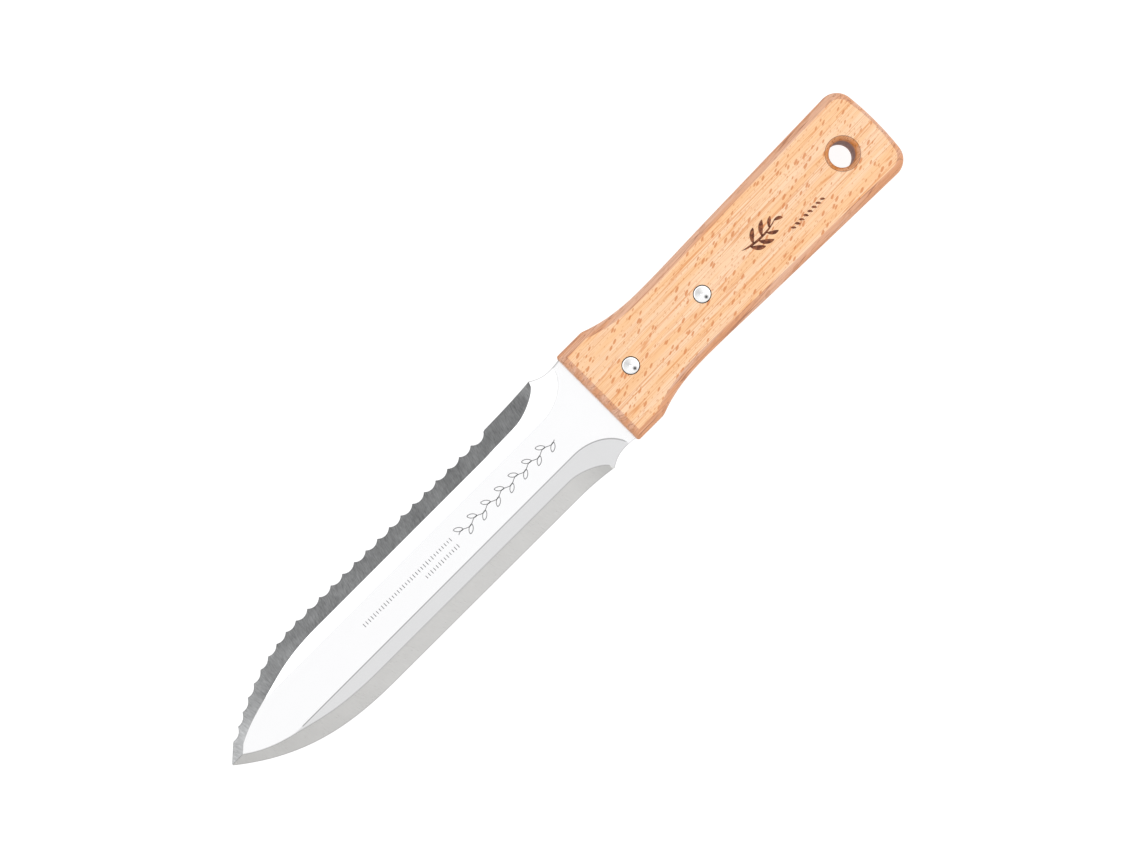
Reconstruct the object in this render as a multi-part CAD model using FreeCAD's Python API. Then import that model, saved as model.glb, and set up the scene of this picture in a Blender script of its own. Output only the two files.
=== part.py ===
import FreeCAD, Part
import math
import os

# A hori hori: a trowel-shaped digging knife with a saw edge, a knife edge and a wooden handle.
#
# Sizes are in millimetres. +X runs from the butt of the handle to the tip of the blade, and +Z
# comes out of the blade's convex face. The saw edge is on the -Y side, the knife edge on the +Y
# side. The origin is the middle of the whole outline, level with the handle's back face.
#
# Places along the knife are given as a station, the distance ahead of the handle's front face,
# and a half width, the distance from the middle line.

V = FreeCAD.Vector
UP = V(0, 0, 1)
NEAR = 0.01

# ---- Driving dimensions: the whole knife ----
BLADE_LENGTH = 184.0
HANDLE_LENGTH = 139.0
HANDLE_THICKNESS = 20.0
FRONT_X = (HANDLE_LENGTH - BLADE_LENGTH) / 2

# ---- Driving dimensions: the blade ----
STEEL = 2.5
FACE_Z = HANDLE_THICKNESS / 2 + STEEL / 2
FOLD_HALF = 8.3
FOLD_RADIUS = 3.0
FLANK_SLOPE = math.tan(math.radians(15))
SHOULDER_STATION = 20.2
SHOULDER_LENGTH = 17.5
SHOULDER_HALF = 22.0
SPUR_STATION = 12.9
SPUR_HALF = 21.75
NECK_HALF = 19.6
KNIFE_SLOPE = math.tan(math.radians(30.3))
SAW_SLOPE = math.tan(math.radians(29.5))
EDGE_LAND = 0.35
RUN_OUT_STATION = 28.0
TIP_LEAD = 0.1
TIP_OVERRUN = 4.0
NOSE_SECTIONS = 10
RUN_OUT_SECTIONS = 8

# ---- Driving dimensions: the saw edge ----
SAW_HALF = 20.5
SAW_STRAIGHT_STATION = 128.0
FIRST_TOOTH = (177.85, 5.55)
LAST_TOOTH_STATION = 43.7
SAW_END = (36.9, 20.75)
NOSE_SCALLOPS = 9
STRAIGHT_SCALLOPS = 15
NOSE_PITCH = 5.4
WHEEL_RADIUS = 4.6
WHEEL_TILT = math.radians(14)

# ---- Driving dimensions: the knife edge ----
KNIFE_HALF = 20.3
KNIFE_STRAIGHT_STATION = 122.0
KNIFE_REAR_HALF = 20.5
TIP_FLAT = 0.6

# ---- Driving dimensions: the tang ----
TANG_LENGTH = 70.0
TANG_INSET = 0.8
TANG_CORNER = 4.0

# ---- Driving dimensions: the handle ----
FRONT_HALF = 20.7
WAIST_HALF = 16.6
REAR_HALF = 18.87
BUTT_RADIUS = 115.0
BUTT_CORNER = 7.0
FRONT_CORNER = 0.8
EDGE_ROUND = 2.5
KERF_LENGTH = 71.0

# ---- Driving dimensions: the hanging hole ----
HOLE_FROM_BUTT = 16.7
HOLE_RADIUS = 4.75
MOUTH_ARC = 3.0
MOUTH_DEPTH = 2.7

# ---- Driving dimensions: the rivets ----
RIVET_STATIONS = {"front_rivet": -16.6, "rear_rivet": -52.2}
HEAD_RADIUS = 3.15
HEAD_HEIGHT = 1.6
HEAD_EDGE = 0.25
HEAD_INSET = 0.1
COUNTERBORE_RADIUS = 3.3
BARREL_RADIUS = 2.3
BARREL_CLEARANCE = 0.05
PIN_RADIUS = 1.6
BARREL_TOP = 15.0
PIN_END = 4.0
BORE_FLOOR = 3.0


def place(station, half, z=0.0):
    """The point at a station, a half width and a height."""
    return V(FRONT_X + station, half, z)


def line(start, end):
    return Part.LineSegment(start, end).toShape()


def bezier(*poles):
    curve = Part.BezierCurve()
    curve.setPoles(list(poles))
    return curve.toShape()


def across(shape):
    """The same shape on the other side of the middle line."""
    return shape.mirror(V(0, 0, 0), V(0, 1, 0))


def prism(edges, height):
    """The solid over a closed outline, from the level of the handle's back face up."""
    wire = Part.Wire(Part.__sortEdges__(edges))
    return Part.Face(wire).extrude(UP * height)


# ---- Outline of the blade, each half drawn on the +Y side ----

def saw_nose():
    """The line over the tooth tips, from the first tooth to where it turns straight."""
    straight = place(SAW_STRAIGHT_STATION, SAW_HALF)
    return bezier(place(*FIRST_TOOTH), place(158.4, 17.0), place(145.5, SAW_HALF), straight)


def saw_straight():
    return line(place(SAW_STRAIGHT_STATION, SAW_HALF), place(LAST_TOOTH_STATION, SAW_HALF))


def saw_half_edges():
    """The saw side, from the tip to the end of the tang."""
    tip = line(place(BLADE_LENGTH, 0), place(*FIRST_TOOTH))
    last = line(place(LAST_TOOTH_STATION, SAW_HALF), place(*SAW_END))
    spur = bezier(place(*SAW_END), place(22.0, 20.95), place(SPUR_STATION, SPUR_HALF))
    return [tip, saw_nose(), saw_straight(), last, spur] + neck_and_tang_edges()


def knife_nose():
    """The knife edge, from the tip to where it turns straight."""
    tip = place(BLADE_LENGTH, TIP_FLAT)
    straight = place(KNIFE_STRAIGHT_STATION, KNIFE_HALF)
    return bezier(tip, place(164.4, 16.0), place(147.2, KNIFE_HALF), straight)


def knife_half_edges():
    """The knife side, from the tip to the end of the tang."""
    tip = line(place(BLADE_LENGTH, 0), place(BLADE_LENGTH, TIP_FLAT))
    rear = place(RUN_OUT_STATION, KNIFE_REAR_HALF)
    straight = line(place(KNIFE_STRAIGHT_STATION, KNIFE_HALF), rear)
    spur = bezier(rear, place(19.0, 20.7), place(SPUR_STATION, SPUR_HALF))
    return [tip, knife_nose(), straight, spur] + neck_and_tang_edges()


def neck_and_tang_edges():
    """From a spur round the neck, then inside the handle, following its edge a little way in."""
    front = place(-11.0, FRONT_HALF - TANG_INSET)
    tang_half = WAIST_HALF - TANG_INSET
    waist_end = place(-38.0, tang_half)
    corner_start = place(TANG_CORNER - TANG_LENGTH, tang_half)
    corner_end = place(-TANG_LENGTH, tang_half - TANG_CORNER)
    neck = bezier(place(SPUR_STATION, SPUR_HALF), place(9.0, 19.2), place(6.0, 18.7), place(0, NECK_HALF))
    entry = line(place(0, NECK_HALF), front)
    waist = bezier(front, place(-20.0, 16.8), place(-27.0, tang_half), waist_end)
    side = line(waist_end, corner_start)
    corner = line(corner_start, corner_end)
    end = line(corner_end, place(-TANG_LENGTH, 0))
    return [neck, entry, waist, side, corner, end]


# ---- The dished sheet of steel ----

def flank_drop(station, half):
    """How far the convex face lies below its flat middle."""
    along = max(0.0, SHOULDER_STATION - station) / SHOULDER_LENGTH
    width = SHOULDER_HALF - FOLD_HALF
    sideways = max(0.0, SHOULDER_HALF - half) / width
    return FLANK_SLOPE * width * (1.0 - min(1.0, math.hypot(along, sideways)))


def shoulder_cone():
    """What the shoulder takes off: a quarter of an upside-down elliptical cone."""
    width = SHOULDER_HALF - FOLD_HALF
    centre = place(SHOULDER_STATION, SHOULDER_HALF, FACE_Z)
    ellipse = Part.Wire(Part.Ellipse(centre, SHOULDER_LENGTH, width).toShape())
    apex = Part.Vertex(centre - V(0, 0, FLANK_SLOPE * width))
    cone = Part.makeLoft([ellipse, apex], True, True)
    room = Part.makeBox(SHOULDER_LENGTH, width, width, centre - V(SHOULDER_LENGTH, width, width))
    return cone.common(room)


def flank_wedge():
    """What a straight flank takes off, from the shoulder to beyond the tip."""
    drop = flank_drop(BLADE_LENGTH, SHOULDER_HALF)
    corners = [
        place(SHOULDER_STATION, FOLD_HALF, FACE_Z),
        place(SHOULDER_STATION, SHOULDER_HALF, FACE_Z - drop),
        place(SHOULDER_STATION, SHOULDER_HALF, FACE_Z),
    ]
    section = Part.Face(Part.makePolygon(corners + corners[:1]))
    return section.extrude(V(BLADE_LENGTH, 0, 0))


def is_fold(edge):
    """True on the line where the flat middle turns down to a flank."""
    level = all(abs(vertex.Z - FACE_Z) < NEAR for vertex in edge.Vertexes)
    middle = edge.CenterOfMass
    return level and FOLD_HALF - NEAR < abs(middle.y) < SHOULDER_HALF - NEAR and middle.x > FRONT_X


def under_convex_face():
    """Everything under the blade's convex face."""
    depth = 3 * HANDLE_THICKNESS
    length = SHOULDER_STATION + BLADE_LENGTH + TANG_LENGTH
    corner = place(-TANG_LENGTH, -SHOULDER_HALF, FACE_Z - depth)
    block = Part.makeBox(length, 2 * SHOULDER_HALF, depth, corner)
    for cutter in (flank_wedge(), shoulder_cone()):
        block = block.cut(cutter).cut(across(cutter))
    folds = [edge for edge in block.Edges if is_fold(edge)]
    return block.makeFillet(FOLD_RADIUS, folds)


# ---- Bevels ----

def bevel_width(spot, inward, slope):
    """Width, from above, of the bevel that leaves EDGE_LAND of steel at the edge."""
    station = spot.x - FRONT_X
    edge_z = -flank_drop(station, spot.y) - STEEL + EDGE_LAND
    low = 0.0
    high = 12.0
    while high - low > NEAR / 10:
        width = (low + high) / 2
        inner = spot + inward * width
        if edge_z + slope * width < -flank_drop(inner.x - FRONT_X, inner.y):
            low = width
        else:
            high = width
    return low


def bevel_section(spot, tangent, slope):
    """A closed section of what grinding takes off, square to the edge at one spot."""
    inward = V(tangent.y, -tangent.x, 0).normalize()
    if inward.y > 0:
        inward = inward * -1
    width = bevel_width(spot, inward, slope)
    past = max(0.0, RUN_OUT_STATION + FRONT_X - spot.x) / (RUN_OUT_STATION - SPUR_STATION)
    width *= math.sqrt(max(0.0, 1.0 - past ** 2))
    inner = spot + inward * width
    inner.z = FACE_Z - flank_drop(inner.x - FRONT_X, inner.y)
    reach = 4.0
    above = inner + inward * reach + UP * (slope * reach)
    outside = inner - inward * (width + reach) - UP * (slope * (width + reach))
    over = V(outside.x, outside.y, above.z)
    return Part.makePolygon([above, outside, over, above])


def sections_along(edge, count, slope):
    """Bevel sections at even steps along one edge of the outline."""
    stops = [edge.Length * step / count for step in range(count + 1)]
    places = [edge.getParameterByLength(stop) for stop in stops]
    return [bevel_section(edge.valueAt(at), edge.tangentAt(at), slope) for at in places]


def bevel_cutters(tip, heading, nose, spur, slope):
    """Cutters for one bevel: past the tip, round the nose, along the straight and out at the spur."""
    at_tip = bevel_section(tip, heading, slope)
    past_tip = at_tip.translated(heading * -TIP_OVERRUN)
    round_nose = sections_along(nose, NOSE_SECTIONS, slope)
    run_out = sections_along(spur, RUN_OUT_SECTIONS, slope)
    cutters = [
        Part.makeLoft([past_tip, at_tip, round_nose[0]], True, True),
        Part.makeLoft(round_nose, True),
        Part.makeLoft([round_nose[-1], run_out[0]], True, True),
        Part.makeLoft(run_out, True, True),
    ]
    return cutters


def knife_bevel():
    nose = knife_nose()
    tip = nose.valueAt(nose.FirstParameter)
    heading = nose.tangentAt(nose.FirstParameter)
    lead = tip - heading * TIP_LEAD
    spur = line(place(RUN_OUT_STATION, KNIFE_REAR_HALF), place(SPUR_STATION, SPUR_HALF))
    return bevel_cutters(lead, heading, nose, spur, KNIFE_SLOPE)


def saw_bevel():
    tip = place(BLADE_LENGTH, 0)
    heading = (place(*FIRST_TOOTH) - tip).normalize()
    spur = line(place(RUN_OUT_STATION, SAW_END[1]), place(SPUR_STATION, SPUR_HALF))
    cutters = bevel_cutters(tip, heading, saw_nose(), spur, SAW_SLOPE)
    return [across(cutter) for cutter in cutters]


# ---- Saw teeth ----

def tooth_tips():
    """The tips of the teeth, from the nose back."""
    nose = saw_nose()
    tips = [nose.valueAt(nose.getParameterByLength(NOSE_PITCH * count)) for count in range(NOSE_SCALLOPS)]
    first = nose.valueAt(nose.getParameterByLength(NOSE_PITCH * NOSE_SCALLOPS))
    pitch = (first.x - FRONT_X - LAST_TOOTH_STATION) / STRAIGHT_SCALLOPS
    for count in range(STRAIGHT_SCALLOPS + 1):
        half = first.y if count == 0 else SAW_HALF
        tips.append(V(first.x - count * pitch, half, 0))
    return tips + [place(*SAW_END)]


def scallop_cutter(tip, next_tip):
    """A grinding wheel's path between two tooth tips, leaning in over the convex face."""
    chord = next_tip - tip
    middle = (tip + next_tip) * 0.5
    outward = V(chord.y, -chord.x, 0).normalize()
    if outward.y < 0:
        outward = outward * -1
    centre = middle + outward * math.sqrt(WHEEL_RADIUS ** 2 - (chord.Length / 2) ** 2)
    centre.z = FACE_Z - STEEL - flank_drop(middle.x - FRONT_X, middle.y)
    axis = UP * math.cos(WHEEL_TILT) - outward * math.sin(WHEEL_TILT)
    return Part.makeCylinder(WHEEL_RADIUS, 4 * WHEEL_RADIUS, centre - axis * (2 * WHEEL_RADIUS), axis)


def scallop_cutters():
    tips = tooth_tips()
    return [across(scallop_cutter(tip, after)) for tip, after in zip(tips, tips[1:])]


# ---- The pieces ----

def blade():
    """Blade and tang, one plate of steel."""
    solid = under_convex_face()
    sheet = solid.cut(solid.translated(V(0, 0, -STEEL)))
    outline = knife_half_edges() + [across(edge) for edge in saw_half_edges()]
    plate = sheet.common(prism(outline, HANDLE_THICKNESS))
    for cutter in knife_bevel() + saw_bevel() + scallop_cutters():
        plate = plate.cut(cutter)
    for station in RIVET_STATIONS.values():
        radius = BARREL_RADIUS + BARREL_CLEARANCE
        plate = plate.cut(Part.makeCylinder(radius, HANDLE_THICKNESS, place(station, 0)))
    return plate


def handle_half_edges():
    """One side of the handle, from the front face to the butt."""
    corner = place(0, FRONT_HALF)
    flare_end = place(-11.5, FRONT_HALF)
    brow_end = place(-13.7, 20.27)
    waist_end = place(-38.0, WAIST_HALF)
    swell_end = place(-70.0, 17.35)
    front = line(place(0, 0), corner)
    flare = line(corner, flare_end)
    brow = bezier(flare_end, place(-12.6, FRONT_HALF), brow_end)
    waist = bezier(brow_end, place(-20.5, 17.75), place(-28.0, WAIST_HALF), waist_end)
    swell = bezier(waist_end, place(-48.0, WAIST_HALF), place(-58.0, 17.05), swell_end)
    side = line(swell_end, butt_corner())
    return [front, flare, brow, waist, swell, side]


def butt_corner():
    sagitta = BUTT_RADIUS - math.sqrt(BUTT_RADIUS ** 2 - REAR_HALF ** 2)
    return place(sagitta - HANDLE_LENGTH, REAR_HALF)


def upright_edges(solid, station, half):
    """The edges that stand square to the faces at one corner of the outline, on both sides."""
    corner = place(station, half)
    found = []
    for edge in solid.Edges:
        middle = edge.CenterOfMass
        near = math.hypot(middle.x - corner.x, abs(middle.y) - half) < NEAR
        if near and abs(middle.z - HANDLE_THICKNESS / 2) < NEAR:
            found.append(edge)
    return found


def handle_blank():
    """The handle's outside, with its edges rounded over."""
    corner = butt_corner()
    butt = Part.Arc(corner, place(-HANDLE_LENGTH, 0), V(corner.x, -corner.y, 0)).toShape()
    half = handle_half_edges()
    blank = prism(half + [across(edge) for edge in half] + [butt], HANDLE_THICKNESS)
    blank = blank.makeFillet(BUTT_CORNER, upright_edges(blank, corner.x - FRONT_X, REAR_HALF))
    blank = blank.makeFillet(FRONT_CORNER, upright_edges(blank, 0, FRONT_HALF))
    rims = [edge for edge in blank.Edges if edge.BoundBox.ZLength < NEAR]
    return blank.makeFillet(EDGE_ROUND, rims)


def mouth_cutter(centre, face_z, outward):
    """The flared mouth of the hanging hole: an arc turned round the hole, widest at the face."""
    flare = MOUTH_ARC - math.sqrt(MOUTH_ARC ** 2 - MOUTH_DEPTH ** 2)
    half_angle = math.asin(MOUTH_DEPTH / MOUTH_ARC) / 2
    inner_z = face_z - outward * MOUTH_DEPTH
    bottom = V(HOLE_RADIUS, 0, inner_z)
    bend = V(
        HOLE_RADIUS + MOUTH_ARC * (1 - math.cos(half_angle)),
        0,
        inner_z + outward * MOUTH_ARC * math.sin(half_angle),
    )
    rim = V(HOLE_RADIUS + flare, 0, face_z)
    edges = [
        Part.Arc(bottom, bend, rim).toShape(),
        line(rim, V(0, 0, face_z)),
        line(V(0, 0, face_z), V(0, 0, inner_z)),
        line(V(0, 0, inner_z), bottom),
    ]
    cutter = Part.Face(Part.Wire(edges)).revolve(V(0, 0, 0), UP, 360)
    cutter.translate(centre)
    return cutter


def handle():
    """One piece of wood, sawn at the front for the tang, and drilled for the rivets and to hang by."""
    wood = handle_blank()
    kerf_half = FRONT_HALF + EDGE_ROUND
    kerf_corner = place(-KERF_LENGTH, -kerf_half, FACE_Z - STEEL)
    wood = wood.cut(Part.makeBox(2 * KERF_LENGTH, 2 * kerf_half, STEEL, kerf_corner))
    for station in RIVET_STATIONS.values():
        bore = BARREL_RADIUS + BARREL_CLEARANCE
        sink = HEAD_HEIGHT + HEAD_INSET
        wood = wood.cut(Part.makeCylinder(bore, HANDLE_THICKNESS, place(station, 0)))
        wood = wood.cut(Part.makeCylinder(COUNTERBORE_RADIUS, sink, place(station, 0)))
        face = place(station, 0, HANDLE_THICKNESS - sink)
        wood = wood.cut(Part.makeCylinder(COUNTERBORE_RADIUS, sink, face))
    centre = place(HOLE_FROM_BUTT - HANDLE_LENGTH, 0)
    wood = wood.cut(Part.makeCylinder(HOLE_RADIUS, HANDLE_THICKNESS, centre))
    wood = wood.cut(mouth_cutter(centre, HANDLE_THICKNESS, 1))
    return wood.cut(mouth_cutter(centre, 0.0, -1))


def rivet_head(station, shank_radius, shank_end):
    """A flush head on the back face, with a shank that stands up from it."""
    head = Part.makeCylinder(HEAD_RADIUS, HEAD_HEIGHT, place(station, 0, HEAD_INSET))
    rim = [edge for edge in head.Edges if edge.CenterOfMass.z < HEAD_INSET + NEAR]
    head = head.makeFillet(HEAD_EDGE, rim)
    shank = Part.makeCylinder(shank_radius, shank_end - HEAD_HEIGHT, place(station, 0, HEAD_HEIGHT))
    return head.fuse(shank).removeSplitter()


def rivet_female(station):
    """The tubular half, its head on the back face."""
    half = rivet_head(station, BARREL_RADIUS, BARREL_TOP)
    return half.cut(Part.makeCylinder(PIN_RADIUS, BARREL_TOP, place(station, 0, BORE_FLOOR)))


def rivet_male(station):
    """The solid half, its head on the front face, pressed into the tubular half."""
    half = rivet_head(station, PIN_RADIUS, HANDLE_THICKNESS - PIN_END)
    return half.mirror(V(0, 0, HANDLE_THICKNESS / 2), UP)


def main():
    pieces = {"blade": blade(), "handle": handle()}
    for name, station in RIVET_STATIONS.items():
        pieces[name + "_male"] = rivet_male(station)
        pieces[name + "_female"] = rivet_female(station)
    os.makedirs("parts", exist_ok=True)
    for name, shape in pieces.items():
        shape.exportStep("parts/" + name + ".step")
        print(name, "valid", shape.isValid(), "solids", len(shape.Solids), "volume", round(shape.Volume, 1))


main()
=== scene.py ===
"""Finished looks for a hori hori: a dished digging knife with a saw edge and a beech handle.

Shapes are worked out in millimetres, as a cutler would mark them: a station is the distance ahead
of the handle's front face, and a half width the distance from the middle line. The knife edge is
on the +Y side, the saw edge on the -Y side, and the convex face looks up.
"""

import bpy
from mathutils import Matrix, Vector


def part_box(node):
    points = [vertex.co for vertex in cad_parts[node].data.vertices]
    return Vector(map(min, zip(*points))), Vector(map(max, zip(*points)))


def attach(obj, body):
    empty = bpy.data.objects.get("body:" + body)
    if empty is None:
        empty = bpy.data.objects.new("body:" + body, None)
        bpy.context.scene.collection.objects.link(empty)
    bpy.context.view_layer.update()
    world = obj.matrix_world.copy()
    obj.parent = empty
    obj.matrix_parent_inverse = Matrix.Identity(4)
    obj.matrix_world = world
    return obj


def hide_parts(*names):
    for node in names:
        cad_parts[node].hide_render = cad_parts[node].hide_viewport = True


bl_info = {
    "name": "Hori Hori Finish",
    "version": (1, 0, 0),
    "blender": (4, 5, 0),
    "location": "3D View > Sidebar > Hori Hori",
    "description": "Builds the finished blade, handle, rivets and marks of a hori hori",
    "category": "Object",
}

import math

import bmesh
import bpy
import numpy as np
from bpy.props import FloatProperty, FloatVectorProperty, IntProperty, PointerProperty
from mathutils import Vector
from mathutils.geometry import tessellate_polygon

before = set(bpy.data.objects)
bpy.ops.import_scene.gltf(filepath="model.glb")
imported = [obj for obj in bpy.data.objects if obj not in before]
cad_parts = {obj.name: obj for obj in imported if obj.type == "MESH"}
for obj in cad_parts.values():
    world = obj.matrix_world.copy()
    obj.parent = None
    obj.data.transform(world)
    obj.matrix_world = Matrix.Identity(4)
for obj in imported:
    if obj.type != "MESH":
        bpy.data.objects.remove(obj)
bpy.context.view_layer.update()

MM = 0.001
HANDLE_LOW, HANDLE_HIGH = (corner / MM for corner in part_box("handle"))
BLADE_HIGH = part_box("blade")[1] / MM

# ---- The whole knife ----
FRONT_X = HANDLE_HIGH.x
BLADE_LENGTH = BLADE_HIGH.x - FRONT_X
HANDLE_LENGTH = FRONT_X - HANDLE_LOW.x
TOP_Z = HANDLE_HIGH.z
FACE_Z = BLADE_HIGH.z

# ---- The dished sheet of steel ----
STEEL = 2.5
FOLD_HALF = 8.3
FOLD_RADIUS = 3.0
FLANK_ANGLE = math.radians(15)
FLANK_SLOPE = math.tan(FLANK_ANGLE)
FOLD_BLEND = FOLD_RADIUS * math.tan(FLANK_ANGLE / 2)
FOLD_MARGIN = 0.3
SHOULDER_STATION = 20.2
SHOULDER_LENGTH = 17.5
SHOULDER_HALF = 22.0
SPUR = (12.9, 21.75)
NECK = (SPUR, (9.0, 19.2), (6.0, 18.7), (0.0, 19.6))
TANG_START = (-2.0, 19.66)

# ---- The two ground edges ----
KNIFE_SLOPE = math.tan(math.radians(30.3))
SAW_SLOPE = math.tan(math.radians(29.5))
EDGE_LAND = 0.35
RUN_OUT_STATION = 28.0
TIP_OVERRUN = 4.0
GRIND_SLANT = 0.3
GRIND_SWEEP = 9.0
WIDEST_BEVEL = 12.0
KNIFE_NOSE = ((BLADE_LENGTH, 0.6), (164.4, 16.0), (147.2, 20.3), (122.0, 20.3))
KNIFE_REAR = ((RUN_OUT_STATION, 20.5), (19.0, 20.7), SPUR)
SAW_TIP = (BLADE_LENGTH, 0.0)
SAW_NOSE = ((177.85, 5.55), (158.4, 17.0), (145.5, 20.5), (128.0, 20.5))
SAW_LAST_TIP = (43.7, 20.5)
SAW_REAR = ((36.9, 20.75), (22.0, 20.95), SPUR)

# ---- The scallops of the saw edge ----
NOSE_SCALLOPS = 9
STRAIGHT_SCALLOPS = 15
NOSE_PITCH = 5.4
WHEEL_RADIUS = 4.6
WHEEL_TILT = math.radians(14)
ROWS_PER_SCALLOP = 10

# ---- The ribs of the blade's mesh, the width of its painted shade lines, and the grinding marks on its steel ----
NOSE_STEPS, REAR_STEPS, NECK_STEPS = 90, 30, 22
RIB_LEAN = 0.35
RIB_LEAN_LENGTH = 30.0
RIDGE_REACH = 12.0
RIDGE_FADE = (40.0, 100.0)
SHADE_LINE_WIDTH = 0.35
LINE_LENGTH = 2.2
CLOUD_SIZE = 9.0

# ---- The handle ----
FRONT_HALF = 20.7
FRONT_CORNER = 0.8
FRONT_STEPS = 9
BROW = ((-11.5, FRONT_HALF), (-12.6, FRONT_HALF), (-13.7, 20.27))
WAIST = ((-13.7, 20.27), (-20.5, 17.75), (-28.0, 16.6), (-38.0, 16.6))
SWELL = ((-38.0, 16.6), (-48.0, 16.6), (-58.0, 17.05), (-70.0, 17.35))
REAR_HALF = 18.87
BUTT_RADIUS = 115.0
BUTT_CORNER = 7.0
KERF_LENGTH = 71.0
HOLE_FROM_BUTT = 16.7
HOLE_RADIUS = 4.75
MOUTH_ARC = 3.0
MOUTH_DEPTH = 2.7
MOUTH_RIM_TURN = 0.07
ROUNDING_START = math.radians(16)

# ---- Tang and rivets ----
TANG_WAIST = ((-11.0, 19.9), (-20.0, 16.8), (-27.0, 15.8), (-38.0, 15.8))
TANG_END = ((-66.0, 15.8), (-70.0, 11.8))
RIVET_STATIONS = [
    (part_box(name + "_male")[0].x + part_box(name + "_male")[1].x) / 2 / MM - FRONT_X
    for name in ("front_rivet", "rear_rivet")
]
HEAD_RADIUS = 3.15
HEAD_HEIGHT = 1.6
HEAD_INSET = 0.1
HEAD_DOME = 0.1
HEAD_EDGE = 0.35
HEAD_DIMPLE = ((0.0, 0.12), (0.28, 0.06), (0.42, 0.0))
SINK_RADIUS = 3.3
SINK_DEPTH = HEAD_HEIGHT + HEAD_INSET
BARREL_RADIUS = 2.3
BORE_RADIUS = 2.35
PIN_RADIUS = 1.6
BARREL_TOP = 15.0
PIN_END = 4.0
PIN_CHAMFER = 0.3
BARREL_FLOOR = 3.0
TURNED_STEPS = 64
HEAD_STEPS = 48

# ---- How dark the painted reflections and painted shade on a rivet's face are, and where they lie on it ----
FAN_SHARE, SPOT_SHARE, RIM_SHARE = 0.3, 0.93, 0.85
FAN_TURN = 0.3
FAN_START = 0.8
FAN_END = HEAD_RADIUS - 0.45
SPOT_PLACE = (-0.35, 1.7)
SPOT_RADII = (0.33, 0.88)
RIM_START = HEAD_RADIUS - 0.2

# ---- Marks on the blade and on the handle ----
MARK_RISE = 0.02
ETCH_WIDTH = 0.28
VINE_LENGTH = 48.0
VINE_WIDTH = 5.6
VINE_START = (21.0, -0.6)
TICK_HALF = 0.8
TICK_PITCH = 1.31
SPRIG_PLACE = (-82.0, 0.0)
SEEDS_START = (-91.6, 6.2)
SEED_PITCH = 2.05
LEAST_WIDTH = 0.7
BLUNT_END = 0.12
CHAR_PATCH = 1.1
VINE_WAVE = 0.1
LEAF_OFFSET = 0.06
LEAF_LENGTH = 0.56
LEAF_BREADTH = 0.46
LEAF_ANGLE = math.radians(38)

# ---- Light, floor and camera ----
FULL_LIGHT = 2.35
CALM_LIGHT = 1.36
GREY_LIGHT = 1.04
DARK_LIGHT = 0.37
FLOOR_LIGHT = 0.5
EXTRA_SHADE = 0.37
PAPER_GLOW = 0.93
FLOOR_REACH = 6000.0
FLOOR_Z = -0.2
CAMERA_OVER = (-8.5, 0.3)
CAMERA_LENS = 88.8


def linear(colour):
    """An sRGB hex colour as linear red, green, blue and alpha."""
    shares = [int(colour[at:at + 2], 16) / 255 for at in (0, 2, 4)]
    curved = [share / 12.92 if share <= 0.04045 else ((share + 0.055) / 1.055) ** 2.4 for share in shares]
    return (*curved, 1.0)


# ---- Sizes and colours that can be changed ----

def colour_setting(name, description, colour):
    """A colour that can be changed, given in sRGB hex."""
    return FloatVectorProperty(
        name=name, description=description, subtype="COLOR", default=linear(colour)[:3], min=0.0, max=1.0,
    )


def length_setting(name, description, usual, least, most):
    """A length that can be changed, given in millimetres."""
    return FloatProperty(
        name=name, description=description, unit="LENGTH", default=usual * MM, min=least * MM, max=most * MM,
    )


class HoriHoriBladeLooks(bpy.types.PropertyGroup):
    """The blade's colours, and how far apart its grinding lines are"""

    face_colour: colour_setting(
        "Face colour", "Colour of the polished faces of the blade", "F4F4F5",
    )
    knife_bevel_colour: colour_setting(
        "Knife bevel colour", "Colour of the finely ground bevel of the knife edge", "F0EFED",
    )
    saw_bevel_colour: colour_setting(
        "Saw bevel colour", "Colour of the coarsely ground bevel of the saw edge", "BFC0C1",
    )
    grind_spacing: length_setting(
        "Grinding lines", "Distance between the lines that the grinding wheel leaves across a bevel",
        0.35, 0.1, 3.0,
    )


class HoriHoriHandleLooks(bpy.types.PropertyGroup):
    """The handle's colours, its rounding and how far apart its ray flecks are"""

    wood_colour: colour_setting(
        "Wood colour", "Colour of the planed beech between its rays", "F5C99B",
    )
    ray_colour: colour_setting(
        "Ray colour", "Colour of the short flecks that beech's rays leave", "D27F43",
    )
    side_band: length_setting(
        "Rounding of the sides", "Width, from above, of the rounding along the sides", 2.8, 1.0, 5.0,
    )
    butt_band: length_setting(
        "Rounding of the butt", "Width, from above, of the rounding in the middle of the butt", 1.5, 0.5, 5.0,
    )
    ray_length: length_setting(
        "Ray spacing", "Distance along the grain from one ray fleck to the next", 3.2, 1.0, 20.0,
    )


class HoriHoriMarkLooks(bpy.types.PropertyGroup):
    """The colours of the etched and burned marks, and how many leaves the vine has"""

    leaf_pairs: IntProperty(
        name="Pairs of leaves",
        description="Number of pairs of leaves on the vine etched on the blade",
        default=7,
        min=1,
        max=12,
    )
    etch_colour: colour_setting(
        "Etching colour", "Colour of the etched lines on the blade", "858587",
    )
    char_colour: colour_setting(
        "Burned colour", "Colour of the mark burned into the handle", "5A2A18",
    )


class HoriHoriStageLooks(bpy.types.PropertyGroup):
    """The floor's colour and the camera's height"""

    floor_colour: colour_setting(
        "Floor colour", "Colour of the plain floor, apart from the light that it gives off", "7C7C7C",
    )
    camera_height: length_setting(
        "Camera height", "Height of the camera over the blade's convex face", 1000.0, 300.0, 5000.0,
    )


# ---- Nodes and materials ----

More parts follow.
